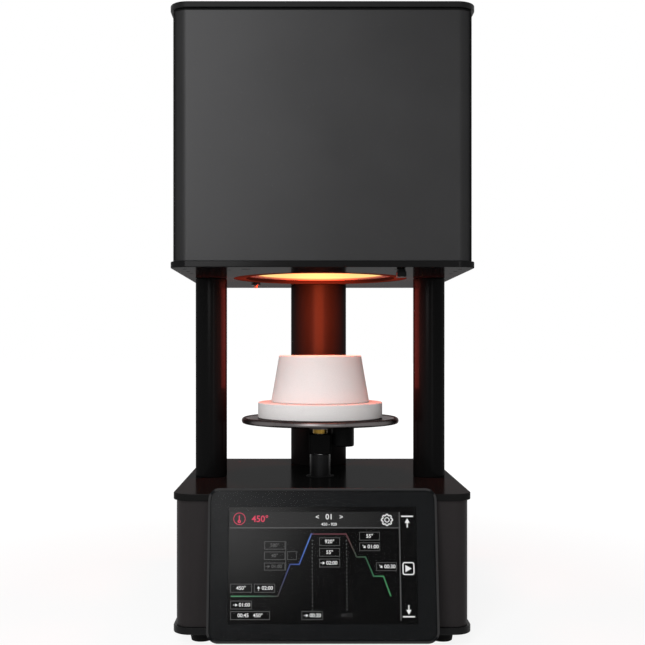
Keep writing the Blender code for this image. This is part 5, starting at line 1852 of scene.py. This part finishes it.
    def build_port(self) -> None:
        """Turn the barbed vacuum port."""
        box = Box.of("vacuum_port")
        wall = Box.of("base_shell").high.y + self.room
        outside = wall + self.port_flange
        flange = box.size.x / 2
        shank = self.port_shank
        barb = (box.high.y - outside) / self.barbs
        profile = [(self.port_bore, box.low.y), (shank, box.low.y), (shank, wall), (flange, wall)]
        profile.append((flange, outside))
        for number in range(self.barbs):
            start = outside + number * barb
            profile += [(shank + self.barb_rise, start), (shank, start + barb)]
        profile.append((self.port_bore, box.high.y))
        port = Bench.turned("port", profile, Vector((box.middle.x, 0.0, box.middle.z)), Axis.Y, 56)
        seat(Bench.soften(port, self.port_edge), self.shelf.fitting, nodes=["vacuum_port"])

    def build_fan_screws(self) -> None:
        """Make the four screws that hold the fan."""
        fan = Box.of("fan_frame").middle
        reach = self.fan_screw_reach
        first = Vector((fan.x - reach, Box.of("base_shell").high.y, fan.z - reach))
        head = self.fan_screw.build("fan_screw", first, Axis.Y, 1)
        shifts = [Vector((2 * reach, 0, 0)), Vector((0, 0, 2 * reach)), Vector((2 * reach, 0, 2 * reach))]
        for screw in Bench.repeat(head, shifts):
            seat(screw, self.shelf.bolt)

    def build(self) -> None:
        """Build and dress the base."""
        self.build_feet()
        self.build_floor()
        self.build_deck()
        self.build_casing()
        self.build_port()
        self.build_fan_screws()
        dress(self.shelf.sheet, "power_supply")
        dress(CircuitBoard().build(), "control_board")
        dress(self.shelf.plastic, "fan_frame", "fan_rotor", "power_inlet", "main_switch")
        dress(self.shelf.gunmetal, "vacuum_valve")
        dress(self.shelf.sheet, "data_socket", "panel_mount_sleeve")


class Icon(Enum):
    """Small arrows in the fields, by the direction they point, in degrees."""

    HOLD = 0.0
    RISE = 90.0
    FALL = -42.0


@dataclass(frozen=True)
class Label:
    """One outlined field of the display, in millimetres from the display's middle.

    Attributes:
        left: Its left edge.
        right: Its right edge.
        top: Its upper edge.
        bottom: Its lower edge.
        words: The numbers in it.
        icon: The small arrow before the numbers, if it has one.
        shift: How far the numbers stand to the right of the field's middle.
        dim: Whether it is shown faintly.
    """

    left: float
    right: float
    top: float
    bottom: float
    words: str = ""
    icon: Icon | None = None
    shift: float = 0.0
    dim: bool = False

    @property
    def middle(self) -> tuple[float, float]:
        """Return the place of the numbers."""
        return (self.left + self.right) / 2 + self.shift, (self.top + self.bottom) / 2


LABELS = (
    Label(-77.9, -59.8, -15.6, -22.7, "450°"),
    Label(-57.9, -40.3, -15.6, -22.7, "02:00", Icon.RISE, 2.4),
    Label(-77.7, -59.8, -29.5, -36.4, "01:00", Icon.HOLD, 2.9),
    Label(-77.6, -44.5, -38.1, -45.0, "00:45   450°"),
    Label(-17.9, 0.0, -38.0, -45.0, "00:20", Icon.HOLD, 2.6),
    Label(-2.8, 14.7, 22.8, 15.9, "920°"),
    Label(-2.8, 14.7, 13.9, 7.0, "55°"),
    Label(-2.8, 14.7, 5.1, -1.9, "02:00", Icon.HOLD, 1.8),
    Label(31.3, 48.7, 27.5, 20.4, "55°"),
    Label(31.3, 48.7, 18.6, 11.6, "01:00", Icon.FALL, 2.9),
    Label(45.3, 62.7, 2.1, -4.9, "00:30", Icon.FALL, 2.9),
    Label(-49.5, -31.8, 19.6, 12.9, "580°", dim=True),
    Label(-49.5, -31.8, 11.0, 4.3, "40°", dim=True),
    Label(-49.5, -31.8, 1.8, -4.5, "01:00", Icon.HOLD, 1.8, dim=True),
)

CURVE = (
    (-77.5, -25.8), (-37.9, -25.8), (-27.6, 0.5), (-19.9, 0.5), (-9.6, 25.7), (20.0, 25.7),
    (28.9, 6.6), (36.3, 6.6), (43.1, -9.3), (51.3, -9.3), (57.3, -25.7),
)

# Bars of the display: left, right, top and bottom, in millimetres from its middle
HEADER = (-79.0, 65.0, 44.3, 30.9)
HEADER_LINE = (-79.0, 65.2, 31.3, 30.5)
SIDE_LINE = (65.1, 66.1, 44.3, -45.6)
GHOST_LINE = (-31.5, -31.0, 19.9, -4.8)
GHOST_FIELD = Label(-29.9, -22.0, 11.3, 4.2)
BULB_STEM = (-71.5, -70.5, 41.3, 36.6)

# Numbers outside the fields: text, place across and up, and size, in millimetres
TITLES = (
    ("<", -4.4, 39.8, 5.6), ("01", 5.7, 40.0, 6.4), (">", 16.0, 39.8, 5.6),
    ("450 - 920", 5.6, 33.8, 3.4),
)
GHOST_TIME = ("00:15", 20.5, -41.4, 4.3)
RED_TITLE = ("450°", -53.2, 38.2, 7.6)

# Icons: places across and up, then a radius, a tail or a turn in degrees, else in millimetres
GEAR = (55.0, 37.6, 4.9)
LIFT_ARROWS = ((72.2, 39.0, 31.1), (72.3, -40.9, -33.0))
PLAY = ((70.0, -6.0), (75.3, -3.0), (70.0, 0.0))
PLAY_CORNERS = ((75.6, 0.3, 0), (69.6, 0.3, 90), (69.6, -6.3, 180), (75.6, -6.3, 270))
RED_RING = (-70.9, 38.5, 4.9)
RED_BULB = (-71.0, 36.2, 0.9)
POINTER_HEAD = ((1.6, 0.0), (-0.3, 1.3), (-0.3, -1.3))
POINTER_TAIL = ((-0.3, 0.2), (-2.2, 0.2), (-2.2, -0.2), (-0.3, -0.2))

# Light of the firing curve along its length
CURVE_LIGHT = (
    (0.0, (0.09, 0.28, 0.14)), (0.18, (0.07, 0.14, 0.1)), (0.3, (0.06, 0.04, 0.05)),
    (0.42, (0.06, 0.09, 0.36)), (0.49, (0.1, 0.2, 0.6)), (0.52, (0.12, 0.03, 0.05)),
    (0.72, (0.13, 0.03, 0.05)), (0.78, (0.05, 0.05, 0.045)), (0.88, (0.04, 0.13, 0.07)),
    (1.0, (0.07, 0.3, 0.12)),
)


def fading(start: float, end: float) -> tuple[tuple[float, Colour], ...]:
    """Return the stops of a grey light that changes from left to right."""
    return ((0.0, (start, start, start)), (1.0, (end, end, end)))


@dataclass
class Screen:
    """What the touch panel shows: fields with numbers, the firing curve and plain icons.

    slope carries the panel's own frame to its place, and the marks lie a depth behind its front.
    line, stroke and icon_line are widths in metres, the dots' places and the sizes of type are in
    millimetres, and weight is how much wider the type's strokes are made, as a share of its size.
    """

    slope: Matrix
    depth: float
    thick: float = 0.03 * MM
    line: float = 0.42 * MM
    stroke: float = 1.0 * MM
    icon_line: float = 0.9 * MM
    type_size: float = 4.3
    ghost_size: float = 4.1
    weight: float = 0.014
    dots: tuple[float, float] = (-8.8, 20.4)
    dot: tuple[float, float] = (0.7, 1.3)
    dot_rows: range = range(21, -37, -3)

    def settle(self, name: str, pieces: Sequence[Piece], ink: Ink, behind: float = 0.0) -> None:
        """Join marks, carry them to the panel and light them.

        Args:
            name: Name of the joined piece.
            pieces: The marks, in the panel's own frame.
            ink: Their light.
            behind: How far they lie behind the other marks.
        """
        piece = Bench.joined(name, pieces)
        piece.matrix_world = self.slope @ Matrix.Translation((0, self.depth + behind, 0))
        Bench.settle(piece)
        seat(piece, ink.build())

    def shape(self, corners: Outline) -> Piece:
        """Make a filled shape from its corners in millimetres."""
        outline = [(across * MM, up * MM) for across, up in corners]
        return Bench.flat("mark", outline, self.thick)

    def bar(self, left: float, right: float, top: float, bottom: float) -> Piece:
        """Make a filled bar from its edges in millimetres."""
        return self.shape([(left, bottom), (right, bottom), (right, top), (left, top)])

    def frame(self, label: Label) -> Piece:
        """Make the thin outline of a field.

        Args:
            label: The field.

        Returns:
            The outline.
        """
        low = Vector((label.left * MM, -self.thick, label.bottom * MM))
        high = Vector((label.right * MM, 0.0, label.top * MM))
        field = Bench.block("field", low, high)
        with Bench.editing(field):
            Bench.choose(field, Element.FACE, lambda face: abs(face.normal.y) > STRAIGHT)
            bpy.ops.mesh.inset(thickness=self.line, use_individual=True)
            bpy.ops.mesh.bridge_edge_loops()
        return field

    def words(self, text: str, across: float, up: float, size: float) -> Piece:
        """Write numbers, centred on a point given in millimetres.

        Args:
            text: The numbers.
            across: Place across.
            up: Place up.
            size: Size of the type in millimetres.

        Returns:
            The numbers as a mesh.
        """
        Bench.clear()
        bpy.ops.object.text_add(location=(across * MM, 0, up * MM), rotation=(math.pi / 2, 0, 0))
        writing = bpy.context.active_object
        writing.data.body = text
        writing.data.align_x = "CENTER"
        writing.data.align_y = "CENTER"
        writing.data.size = size * MM
        writing.data.extrude = self.thick / 2
        writing.data.offset = size * self.weight * MM
        writing.data.resolution_u = 4
        Bench.pick(writing)
        bpy.ops.object.convert(target="MESH")
        return Bench.added("writing")

    def path(self, points: Outline, width: float, closed: bool = False) -> Piece:
        """Make a line of even width through points in millimetres.

        Args:
            points: The points in order.
            width: Width of the line in metres.
            closed: Whether the line comes back to its start.

        Returns:
            The line.
        """
        places = [Vector((across * MM, up * MM)) for across, up in points]
        count = len(places)
        outer = []
        inner = []
        for index, place in enumerate(places):
            before = places[index - 1] if closed or index else place
            after = places[(index + 1) % count] if closed or index < count - 1 else place
            way_in = (place - before).normalized() if place != before else (after - place).normalized()
            way_out = (after - place).normalized() if after != place else way_in
            normal = Vector((-way_in.y - way_out.y, way_in.x + way_out.x)).normalized()
            reach = width / 2 / max(0.5, normal.dot(Vector((-way_in.y, way_in.x))))
            inner.append(tuple(place + normal * reach))
            outer.append(tuple(place - normal * reach))
        if not closed:
            return Bench.flat("line", inner + outer[::-1], self.thick)
        band = Bench.flat("line", outer, self.thick)
        hollow = Bench.flat("inner", inner, 3 * self.thick)
        hollow.location.y = self.thick
        return Bench.cut(band, Bench.settle(hollow))

    def ring(self, across: float, up: float, radius: float, width: float) -> Piece:
        """Make a plain ring.

        Args:
            across: Its place across in millimetres.
            up: Its place up in millimetres.
            radius: Its radius in millimetres.
            width: Width of its line in metres.

        Returns:
            The ring.
        """
        angles = [2 * math.pi * step / 48 for step in range(48)]
        points = [(across + radius * math.cos(a), up + radius * math.sin(a)) for a in angles]
        return self.path(points, width, True)

    def gear(self, across: float, up: float, radius: float) -> list[Piece]:
        """Make the settings icon: a ring with eight teeth round a small ring.

        Args:
            across: Its place across in millimetres.
            up: Its place up in millimetres.
            radius: Its radius in millimetres.

        Returns:
            The toothed ring and the small one.
        """
        steps, teeth = 96, 8
        middle, rise = 0.87, 0.1
        hub, hub_line = 0.38, 0.7 * MM
        toothed = []
        for step in range(steps):
            angle = 2 * math.pi * step / steps
            wave = radius * (middle + rise * math.tanh(3 * math.cos(teeth * angle)))
            toothed.append((across + wave * math.cos(angle), up + wave * math.sin(angle)))
        rim = self.path(toothed, self.icon_line, True)
        return [rim, self.ring(across, up, hub * radius, hub_line)]

    def arrow(self, across: float, tip: float, tail: float) -> list[Piece]:
        """Make an upright arrow with a bar before its tip.

        Args:
            across: Its place across in millimetres.
            tip: Height of its tip in millimetres.
            tail: Height of its tail in millimetres.

        Returns:
            The arrow's head and stem, and the bar.
        """
        head, half, stem = 4.0, 2.2, 0.5
        gap, bar_half, bar_rise = 1.6, 5.1, 0.55
        way = math.copysign(1.0, tip - tail)
        base = tip - head * way
        bar = tip + gap * way
        return [
            self.shape([(across - half, base), (across + half, base), (across, tip)]),
            self.bar(across - stem, across + stem, max(base, tail), min(base, tail)),
            self.bar(across - bar_half, across + bar_half, bar + bar_rise, bar - bar_rise),
        ]

    def pointer(self, label: Label) -> list[Piece]:
        """Make a field's small arrow.

        Args:
            label: The field.

        Returns:
            The arrow's head and its thin tail.
        """
        before_numbers = 7.4
        turn = Matrix.Rotation(math.radians(label.icon.value), 2)
        middle = Vector((label.middle[0] - before_numbers, label.middle[1]))
        parts = (POINTER_HEAD, POINTER_TAIL)
        return [self.shape([tuple(middle + turn @ Vector(point)) for point in part]) for part in parts]

    def filled(self, labels: Sequence[Label], size: float) -> list[Piece]:
        """Write the fields' numbers with their small arrows.

        Args:
            labels: The fields.
            size: Size of the type in millimetres.

        Returns:
            The numbers and the arrows.
        """
        marks = [self.words(label.words, *label.middle, size) for label in labels]
        for label in labels:
            if label.icon:
                marks += self.pointer(label)
        return marks

    def build_outlines(self) -> None:
        """Build the fields' outlines, the dividing lines and the dotted lines."""
        marks = [self.frame(label) for label in LABELS if not label.dim]
        marks += [self.bar(*HEADER_LINE), self.bar(*SIDE_LINE)]
        width, height = self.dot
        for across in self.dots:
            left = across - width / 2
            right = across + width / 2
            marks += [self.bar(left, right, up, up - height) for up in self.dot_rows]
        self.settle("screen_outlines", marks, Ink("outline_marks", fading(0.13, 0.085), -0.08, 0.16))
        light = Ink("header_light", fading(0.05, 0.008), -0.08, 0.15)
        self.settle("screen_header", [self.bar(*HEADER)], light, self.thick * 1.7)

    def build_faint_marks(self) -> None:
        """Build the fields that are shown faintly."""
        ghosts = [label for label in LABELS if label.dim]
        marks = [self.frame(label) for label in ghosts] + self.filled(ghosts, self.ghost_size)
        marks += [self.frame(GHOST_FIELD), self.bar(*GHOST_LINE), self.words(*GHOST_TIME)]
        self.settle("screen_faint_marks", marks, Ink("faint_marks", fading(0.13, 0.02), -0.06, 0.1))

    def build_white_marks(self) -> None:
        """Build the numbers and the white icons."""
        marks = self.filled([label for label in LABELS if not label.dim], self.type_size)
        marks += [self.words(*title) for title in TITLES]
        marks += self.gear(*GEAR)
        for arrow in LIFT_ARROWS:
            marks += self.arrow(*arrow)
        marks.append(self.shape(PLAY))
        corner = 1.6
        facets = 4
        button = []
        for across, up, start in PLAY_CORNERS:
            for step in range(facets + 1):
                angle = math.radians(start + 90 / facets * step)
                button.append((across + corner * math.cos(angle), up + corner * math.sin(angle)))
        marks.append(self.path(button, self.icon_line, True))
        self.settle("screen_numbers", marks, Ink("white_marks", fading(0.85, 0.85)))

    def build_red_marks(self) -> None:
        """Build the temperature and its icon."""
        red = (0.72, 0.08, 0.14)
        marks = [self.words(*RED_TITLE), self.ring(*RED_RING, 0.5 * MM)]
        marks += [self.bar(*BULB_STEM), self.ring(*RED_BULB, 1.0 * MM)]
        self.settle("screen_red_marks", marks, Ink("red_marks", ((0.0, red), (1.0, red))))

    def build(self) -> None:
        """Build everything that the display shows."""
        self.build_outlines()
        self.build_faint_marks()
        self.build_white_marks()
        self.build_red_marks()
        start = CURVE[0][0] * MM
        curve = Ink("curve_marks", CURVE_LIGHT, start, CURVE[-1][0] * MM - start)
        self.settle("screen_curve", [self.path(CURVE, self.stroke)], curve)


@dataclass
class Panel:
    """The tilted touch panel and the housing behind it.

    tilt is in degrees. lip is the width of the frame's lip round the glass, window the width and
    height of the opening behind it, foot the height of the frame's lower front edge, and reflection_reach
    the distance over which the display's painted reflection fades.
    """

    shelf: Shelf
    tilt: float = 10.5
    width: float = 195.5 * MM
    height: float = 128.8 * MM
    corner: float = 10.0 * MM
    thickness: float = 4.0 * MM
    bevel: float = 2.0 * MM
    bevel_depth: float = 0.9 * MM
    edge: float = 0.12 * MM
    lip: float = 0.7 * MM
    glass: float = 1.2 * MM
    glass_edge: float = 0.15 * MM
    window: tuple[float, float] = (160.0 * MM, 97.0 * MM)
    room: float = ROOM
    foot: float = 12.7 * MM
    marks_gap: float = 0.2 * MM
    reflection_reach: float = 150.0 * MM

    def slope(self) -> Matrix:
        """Work out the panel's place from its lower front edge and its tilt.

        Returns:
            The matrix that carries the panel's own frame to its place.
        """
        lean = math.radians(self.tilt)
        box = Box.of("panel_bezel")
        front = box.low.y - self.bevel * math.sin(lean)
        turn = Matrix.Rotation(-lean, 4, "X")
        up = Matrix.Translation((0, 0, self.height / 2))
        return Matrix.Translation((box.middle.x, front, self.foot)) @ turn @ up

    def carry(self, piece: Piece) -> Piece:
        """Carry a piece from the panel's own frame to its place."""
        piece.matrix_world = self.slope()
        return Bench.settle(piece)

    def build_frame(self) -> None:
        """Make the frame: bevelled front, pocket for the glass and window for the display."""
        low = Vector((-self.width / 2, self.bevel_depth, -self.height / 2))
        high = Vector((self.width / 2, self.thickness, self.height / 2))
        bezel = Bench.slab("bezel", low, high, self.corner, Axis.Y)
        with Bench.editing(bezel):
            Bench.choose(bezel, Element.FACE, Bench.facing(-Axis.Y.vector()))
            bpy.ops.mesh.inset(thickness=self.bevel)
            bpy.ops.transform.translate(value=(0, -self.bevel_depth, 0))
            bpy.ops.mesh.inset(thickness=self.lip - self.room)
            Bench.extrude(Vector((0, self.glass + self.room, 0)))
        wide, high_up = self.window
        reach = Vector((wide / 2, 2 * self.thickness, high_up / 2))
        Bench.cut(bezel, Bench.block("window", -reach, reach))
        Bench.soften(bezel, self.edge)
        seat(self.carry(bezel), self.shelf.bezel, nodes=["panel_bezel"])
        self.polish_rim(bezel)

    def polish_rim(self, bezel: Piece) -> None:
        """Give the frame's bevel and sides a glossier finish.

        Args:
            bezel: The frame, in place.
        """
        gloss = Coating(
            "rim_lacquer", (0.012, 0.012, 0.0125), (0.3, 0.4), gloss=0.6, gloss_roughness=0.22,
            sheen_level=0.0,
        )
        bezel.data.materials.append(gloss.build())
        back = self.slope().inverted()
        for face in bezel.data.polygons:
            spot = back @ face.center
            beside = abs(spot.x) > self.width / 2 - self.bevel
            face.material_index = int(beside or abs(spot.z) > self.height / 2 - self.bevel)

    def build_glass(self) -> None:
        """Make the cover glass with its ground edge."""
        inset = self.bevel + self.lip
        low = Vector((inset - self.width / 2, 0, inset - self.height / 2))
        high = Vector((self.width / 2 - inset, self.glass, self.height / 2 - inset))
        glass = Bench.slab("touch_glass", low, high, self.corner - inset, Axis.Y)
        Bench.soften(glass, self.glass_edge)
        seat(self.carry(glass), CoverGlass().build(), nodes=["panel_glass"])

    def build(self) -> None:
        """Build and dress the panel."""
        self.build_frame()
        self.build_glass()
        wide, high_up = self.window
        corner = self.slope() @ Vector((-wide / 2, self.glass, high_up / 2))
        # The display's light in its upper left corner is a painted reflection of a lamp
        display = DisplayWithPaintedReflection(
            "display_painted_reflection", tuple(corner), self.reflection_reach, lit=(0.034, 0.034, 0.034),
            dark=(0.0004, 0.0004, 0.0004),
        )
        dress(display.build(), "display_module")
        dress(self.shelf.plastic, "panel_back_cover")
        Screen(self.slope(), self.glass + self.marks_gap).build()


@dataclass(frozen=True)
class Lamp:
    """One studio lamp, with its power in watts and its width and height in metres.

    seen tells whether it shows itself, and mirrored whether glossy pieces mirror it.
    """

    name: str
    place: tuple[float, float, float]
    target: tuple[float, float, float]
    power: float
    size: tuple[float, float]
    colour: Colour = (1.0, 1.0, 1.0)
    seen: bool = True
    mirrored: bool = True

    def build(self) -> None:
        """Set the lamp up."""
        way = Vector(self.target) - Vector(self.place)
        turn = way.to_track_quat("-Z", "Y").to_euler()
        Bench.clear()
        bpy.ops.object.light_add(type="AREA", location=self.place, rotation=turn)
        lamp = bpy.context.active_object
        lamp.name = self.name
        lamp.data.energy = self.power
        lamp.data.shape = "RECTANGLE"
        lamp.data.size, lamp.data.size_y = self.size
        lamp.data.color = self.colour
        lamp.visible_camera = self.seen
        lamp.visible_glossy = self.mirrored


@dataclass
class Studio:
    """Floor, soft lamps, white surroundings and the camera.

    fill is the level of the even light from all round. The floor is lifted to paper_light by the
    share whiteness near the furnace and all the way at paper_reach. Powers are in watts. rear_place
    tells how far behind the axis and below the mouth the rear column's lamp stands, side_share how
    far along the way to a front column that column's lamp stands, and side_drop how far below.
    """

    shelf: Shelf
    fill: float = 0.22
    floor_size: float = 30.0
    whiteness: float = 0.8
    paper_light: float = 1.1
    paper_reach: float = 1.1
    lamps: tuple[Lamp, ...] = (
        Lamp("key", (-0.37, -1.45, 0.86), (0.0, 0.0, 0.3), power=14.6, size=(0.52, 1.15)),
        Lamp("side", (-1.4, -0.5, 0.6), (0.0, 0.0, 0.25), power=3.4, size=(0.8, 1.0), mirrored=False),
        Lamp("stripe", (0.75, -2.1, 0.5), (0.0, 0.0, 0.25), power=4.0, size=(0.3, 1.2)),
    )
    red: Colour = (1.0, 0.1, 0.07)
    amber: Colour = (1.0, 0.11, 0.03)
    mouth_drop: float = 0.5 * MM
    mouth_size: tuple[float, float] = (0.085, 0.085)
    mouth_power: float = 0.4
    rear_place: tuple[float, float] = (0.045, 0.036)
    rear_size: tuple[float, float] = (0.035, 0.08)
    rear_power: float = 0.5
    side_share: float = 0.62
    side_drop: float = 0.058
    side_size: tuple[float, float] = (0.03, 0.1)
    side_power: float = 0.18
    eye: tuple[float, float, float] = (-0.0155, -0.9922, 0.26)
    lens: float = 55.81
    shift: tuple[float, float] = (0.02814, 0.03845)

    @staticmethod
    def seen(tree: bpy.types.NodeTree) -> Socket:
        """Add nodes that tell when the surroundings are looked at.

        Args:
            tree: The node tree they are added to.

        Returns:
            A socket that is 1 for rays that look at them straight, in a mirror or through glass.
        """
        path = tree.nodes.new("ShaderNodeLightPath")
        value = path.outputs["Is Camera Ray"]
        for name in ("Is Glossy Ray", "Is Transmission Ray"):
            highest = tree.nodes.new("ShaderNodeMath")
            highest.operation = "MAXIMUM"
            tree.links.new(value, highest.inputs[0])
            tree.links.new(path.outputs[name], highest.inputs[1])
            value = highest.outputs[0]
        return value

    def build_world(self) -> None:
        """Make the surroundings white to look at and dim as a light."""
        world = bpy.data.worlds.new("studio")
        world.use_nodes = True
        bpy.context.scene.world = world
        tree = world.node_tree
        light = tree.nodes["Background"]
        white = tree.nodes.new("ShaderNodeBackground")
        for node, strength in ((light, self.fill), (white, 1.0)):
            node.inputs["Color"].default_value = (1.0, 1.0, 1.0, 1.0)
            node.inputs["Strength"].default_value = strength
        mix = tree.nodes.new("ShaderNodeMixShader")
        tree.links.new(self.seen(tree), mix.inputs[0])
        tree.links.new(light.outputs[0], mix.inputs[1])
        tree.links.new(white.outputs[0], mix.inputs[2])
        tree.links.new(mix.outputs[0], tree.nodes["World Output"].inputs["Surface"])

    def build_floor(self) -> None:
        """Lay the pale floor, which keeps the furnace's soft shadow."""
        Bench.clear()
        bpy.ops.mesh.primitive_plane_add(size=self.floor_size, location=(0, 0, 0))
        floor = Bench.added("floor")
        recipe = Recipe("floor_paper")
        grain = recipe.noise(recipe.place(), scale=300.0)
        recipe.feed(Base_Color=recipe.ramp(grain, [(0.3, (0.84, 0.84, 0.84)), (0.7, (0.86, 0.86, 0.86))]))
        recipe.fix(Roughness=0.9, Specular_IOR_Level=0.0)
        glow = recipe.add("ShaderNodeEmission")
        glow.inputs["Strength"].default_value = self.paper_light
        near = recipe.add("ShaderNodeTexGradient", gradient_type="SPHERICAL")
        reach = (self.paper_reach, self.paper_reach, self.paper_reach)
        recipe.join(recipe.place(stretch=reach), near.inputs["Vector"])
        lift = recipe.spread(near.outputs["Fac"], 1.0, self.whiteness, 0.1, 0.7)
        share = recipe.product(self.seen(recipe.tree), lift)
        mix = recipe.add("ShaderNodeMixShader")
        recipe.join(share, mix.inputs[0])
        recipe.join(recipe.shader.outputs[0], mix.inputs[1])
        recipe.join(glow.outputs[0], mix.inputs[2])
        recipe.join(mix.outputs[0], recipe.tree.nodes["Material Output"].inputs["Surface"])
        floor.data.materials.append(recipe.material)

    def build_lamps(self) -> None:
        """Set up the studio lamps and the glow out of the chamber."""
        for lamp in self.lamps:
            lamp.build()
        x, y, _ = self.shelf.axis
        mouth = Box.of("seal_flange").low.z - self.mouth_drop
        Lamp(
            "chamber_glow", (x, y, mouth), (x, y, 0.0), self.mouth_power, self.mouth_size, self.red,
            seen=False,
        ).build()
        behind, below = self.rear_place
        spot = (x, y + behind, mouth - below)
        target = (x, Box.of("column_rear").low.y, spot[2])
        Lamp("rear_glow", spot, target, self.rear_power, self.rear_size, self.amber, seen=False).build()
        for node in ("column_left", "column_right"):
            column = Box.of(node).middle
            spot = (x + self.side_share * (column.x - x), y, mouth - self.side_drop)
            target = (column.x, y, spot[2])
            Lamp(
                f"{node}_glow", spot, target, self.side_power, self.side_size, self.red, seen=False
            ).build()

    def build_camera(self) -> None:
        """Place the camera level with the open working space."""
        Bench.clear()
        bpy.ops.object.camera_add(location=self.eye, rotation=Euler((math.pi / 2, 0, 0)))
        camera = bpy.context.active_object
        camera.data.lens = self.lens
        camera.data.shift_x, camera.data.shift_y = self.shift
        bpy.context.scene.camera = camera

    def build(self) -> None:
        """Build the studio."""
        bpy.context.scene.view_settings.view_transform = "Standard"
        self.build_world()
        self.build_floor()
        self.build_lamps()
        self.build_camera()


def main() -> None:
    """Build every sub-assembly in turn, then the studio."""
    logging.basicConfig(level=logging.INFO, format="%(name)s: %(message)s")
    shelf = Shelf()
    for assembly in (
        Base(shelf), Columns(shelf), Lift(shelf), Pedestal(shelf), Head(shelf), Chamber(shelf),
        Panel(shelf), Studio(shelf),
    ):
        assembly.build()
        LOG.info("%s is built", type(assembly).__name__)


if __name__ == "__main__":
    main()
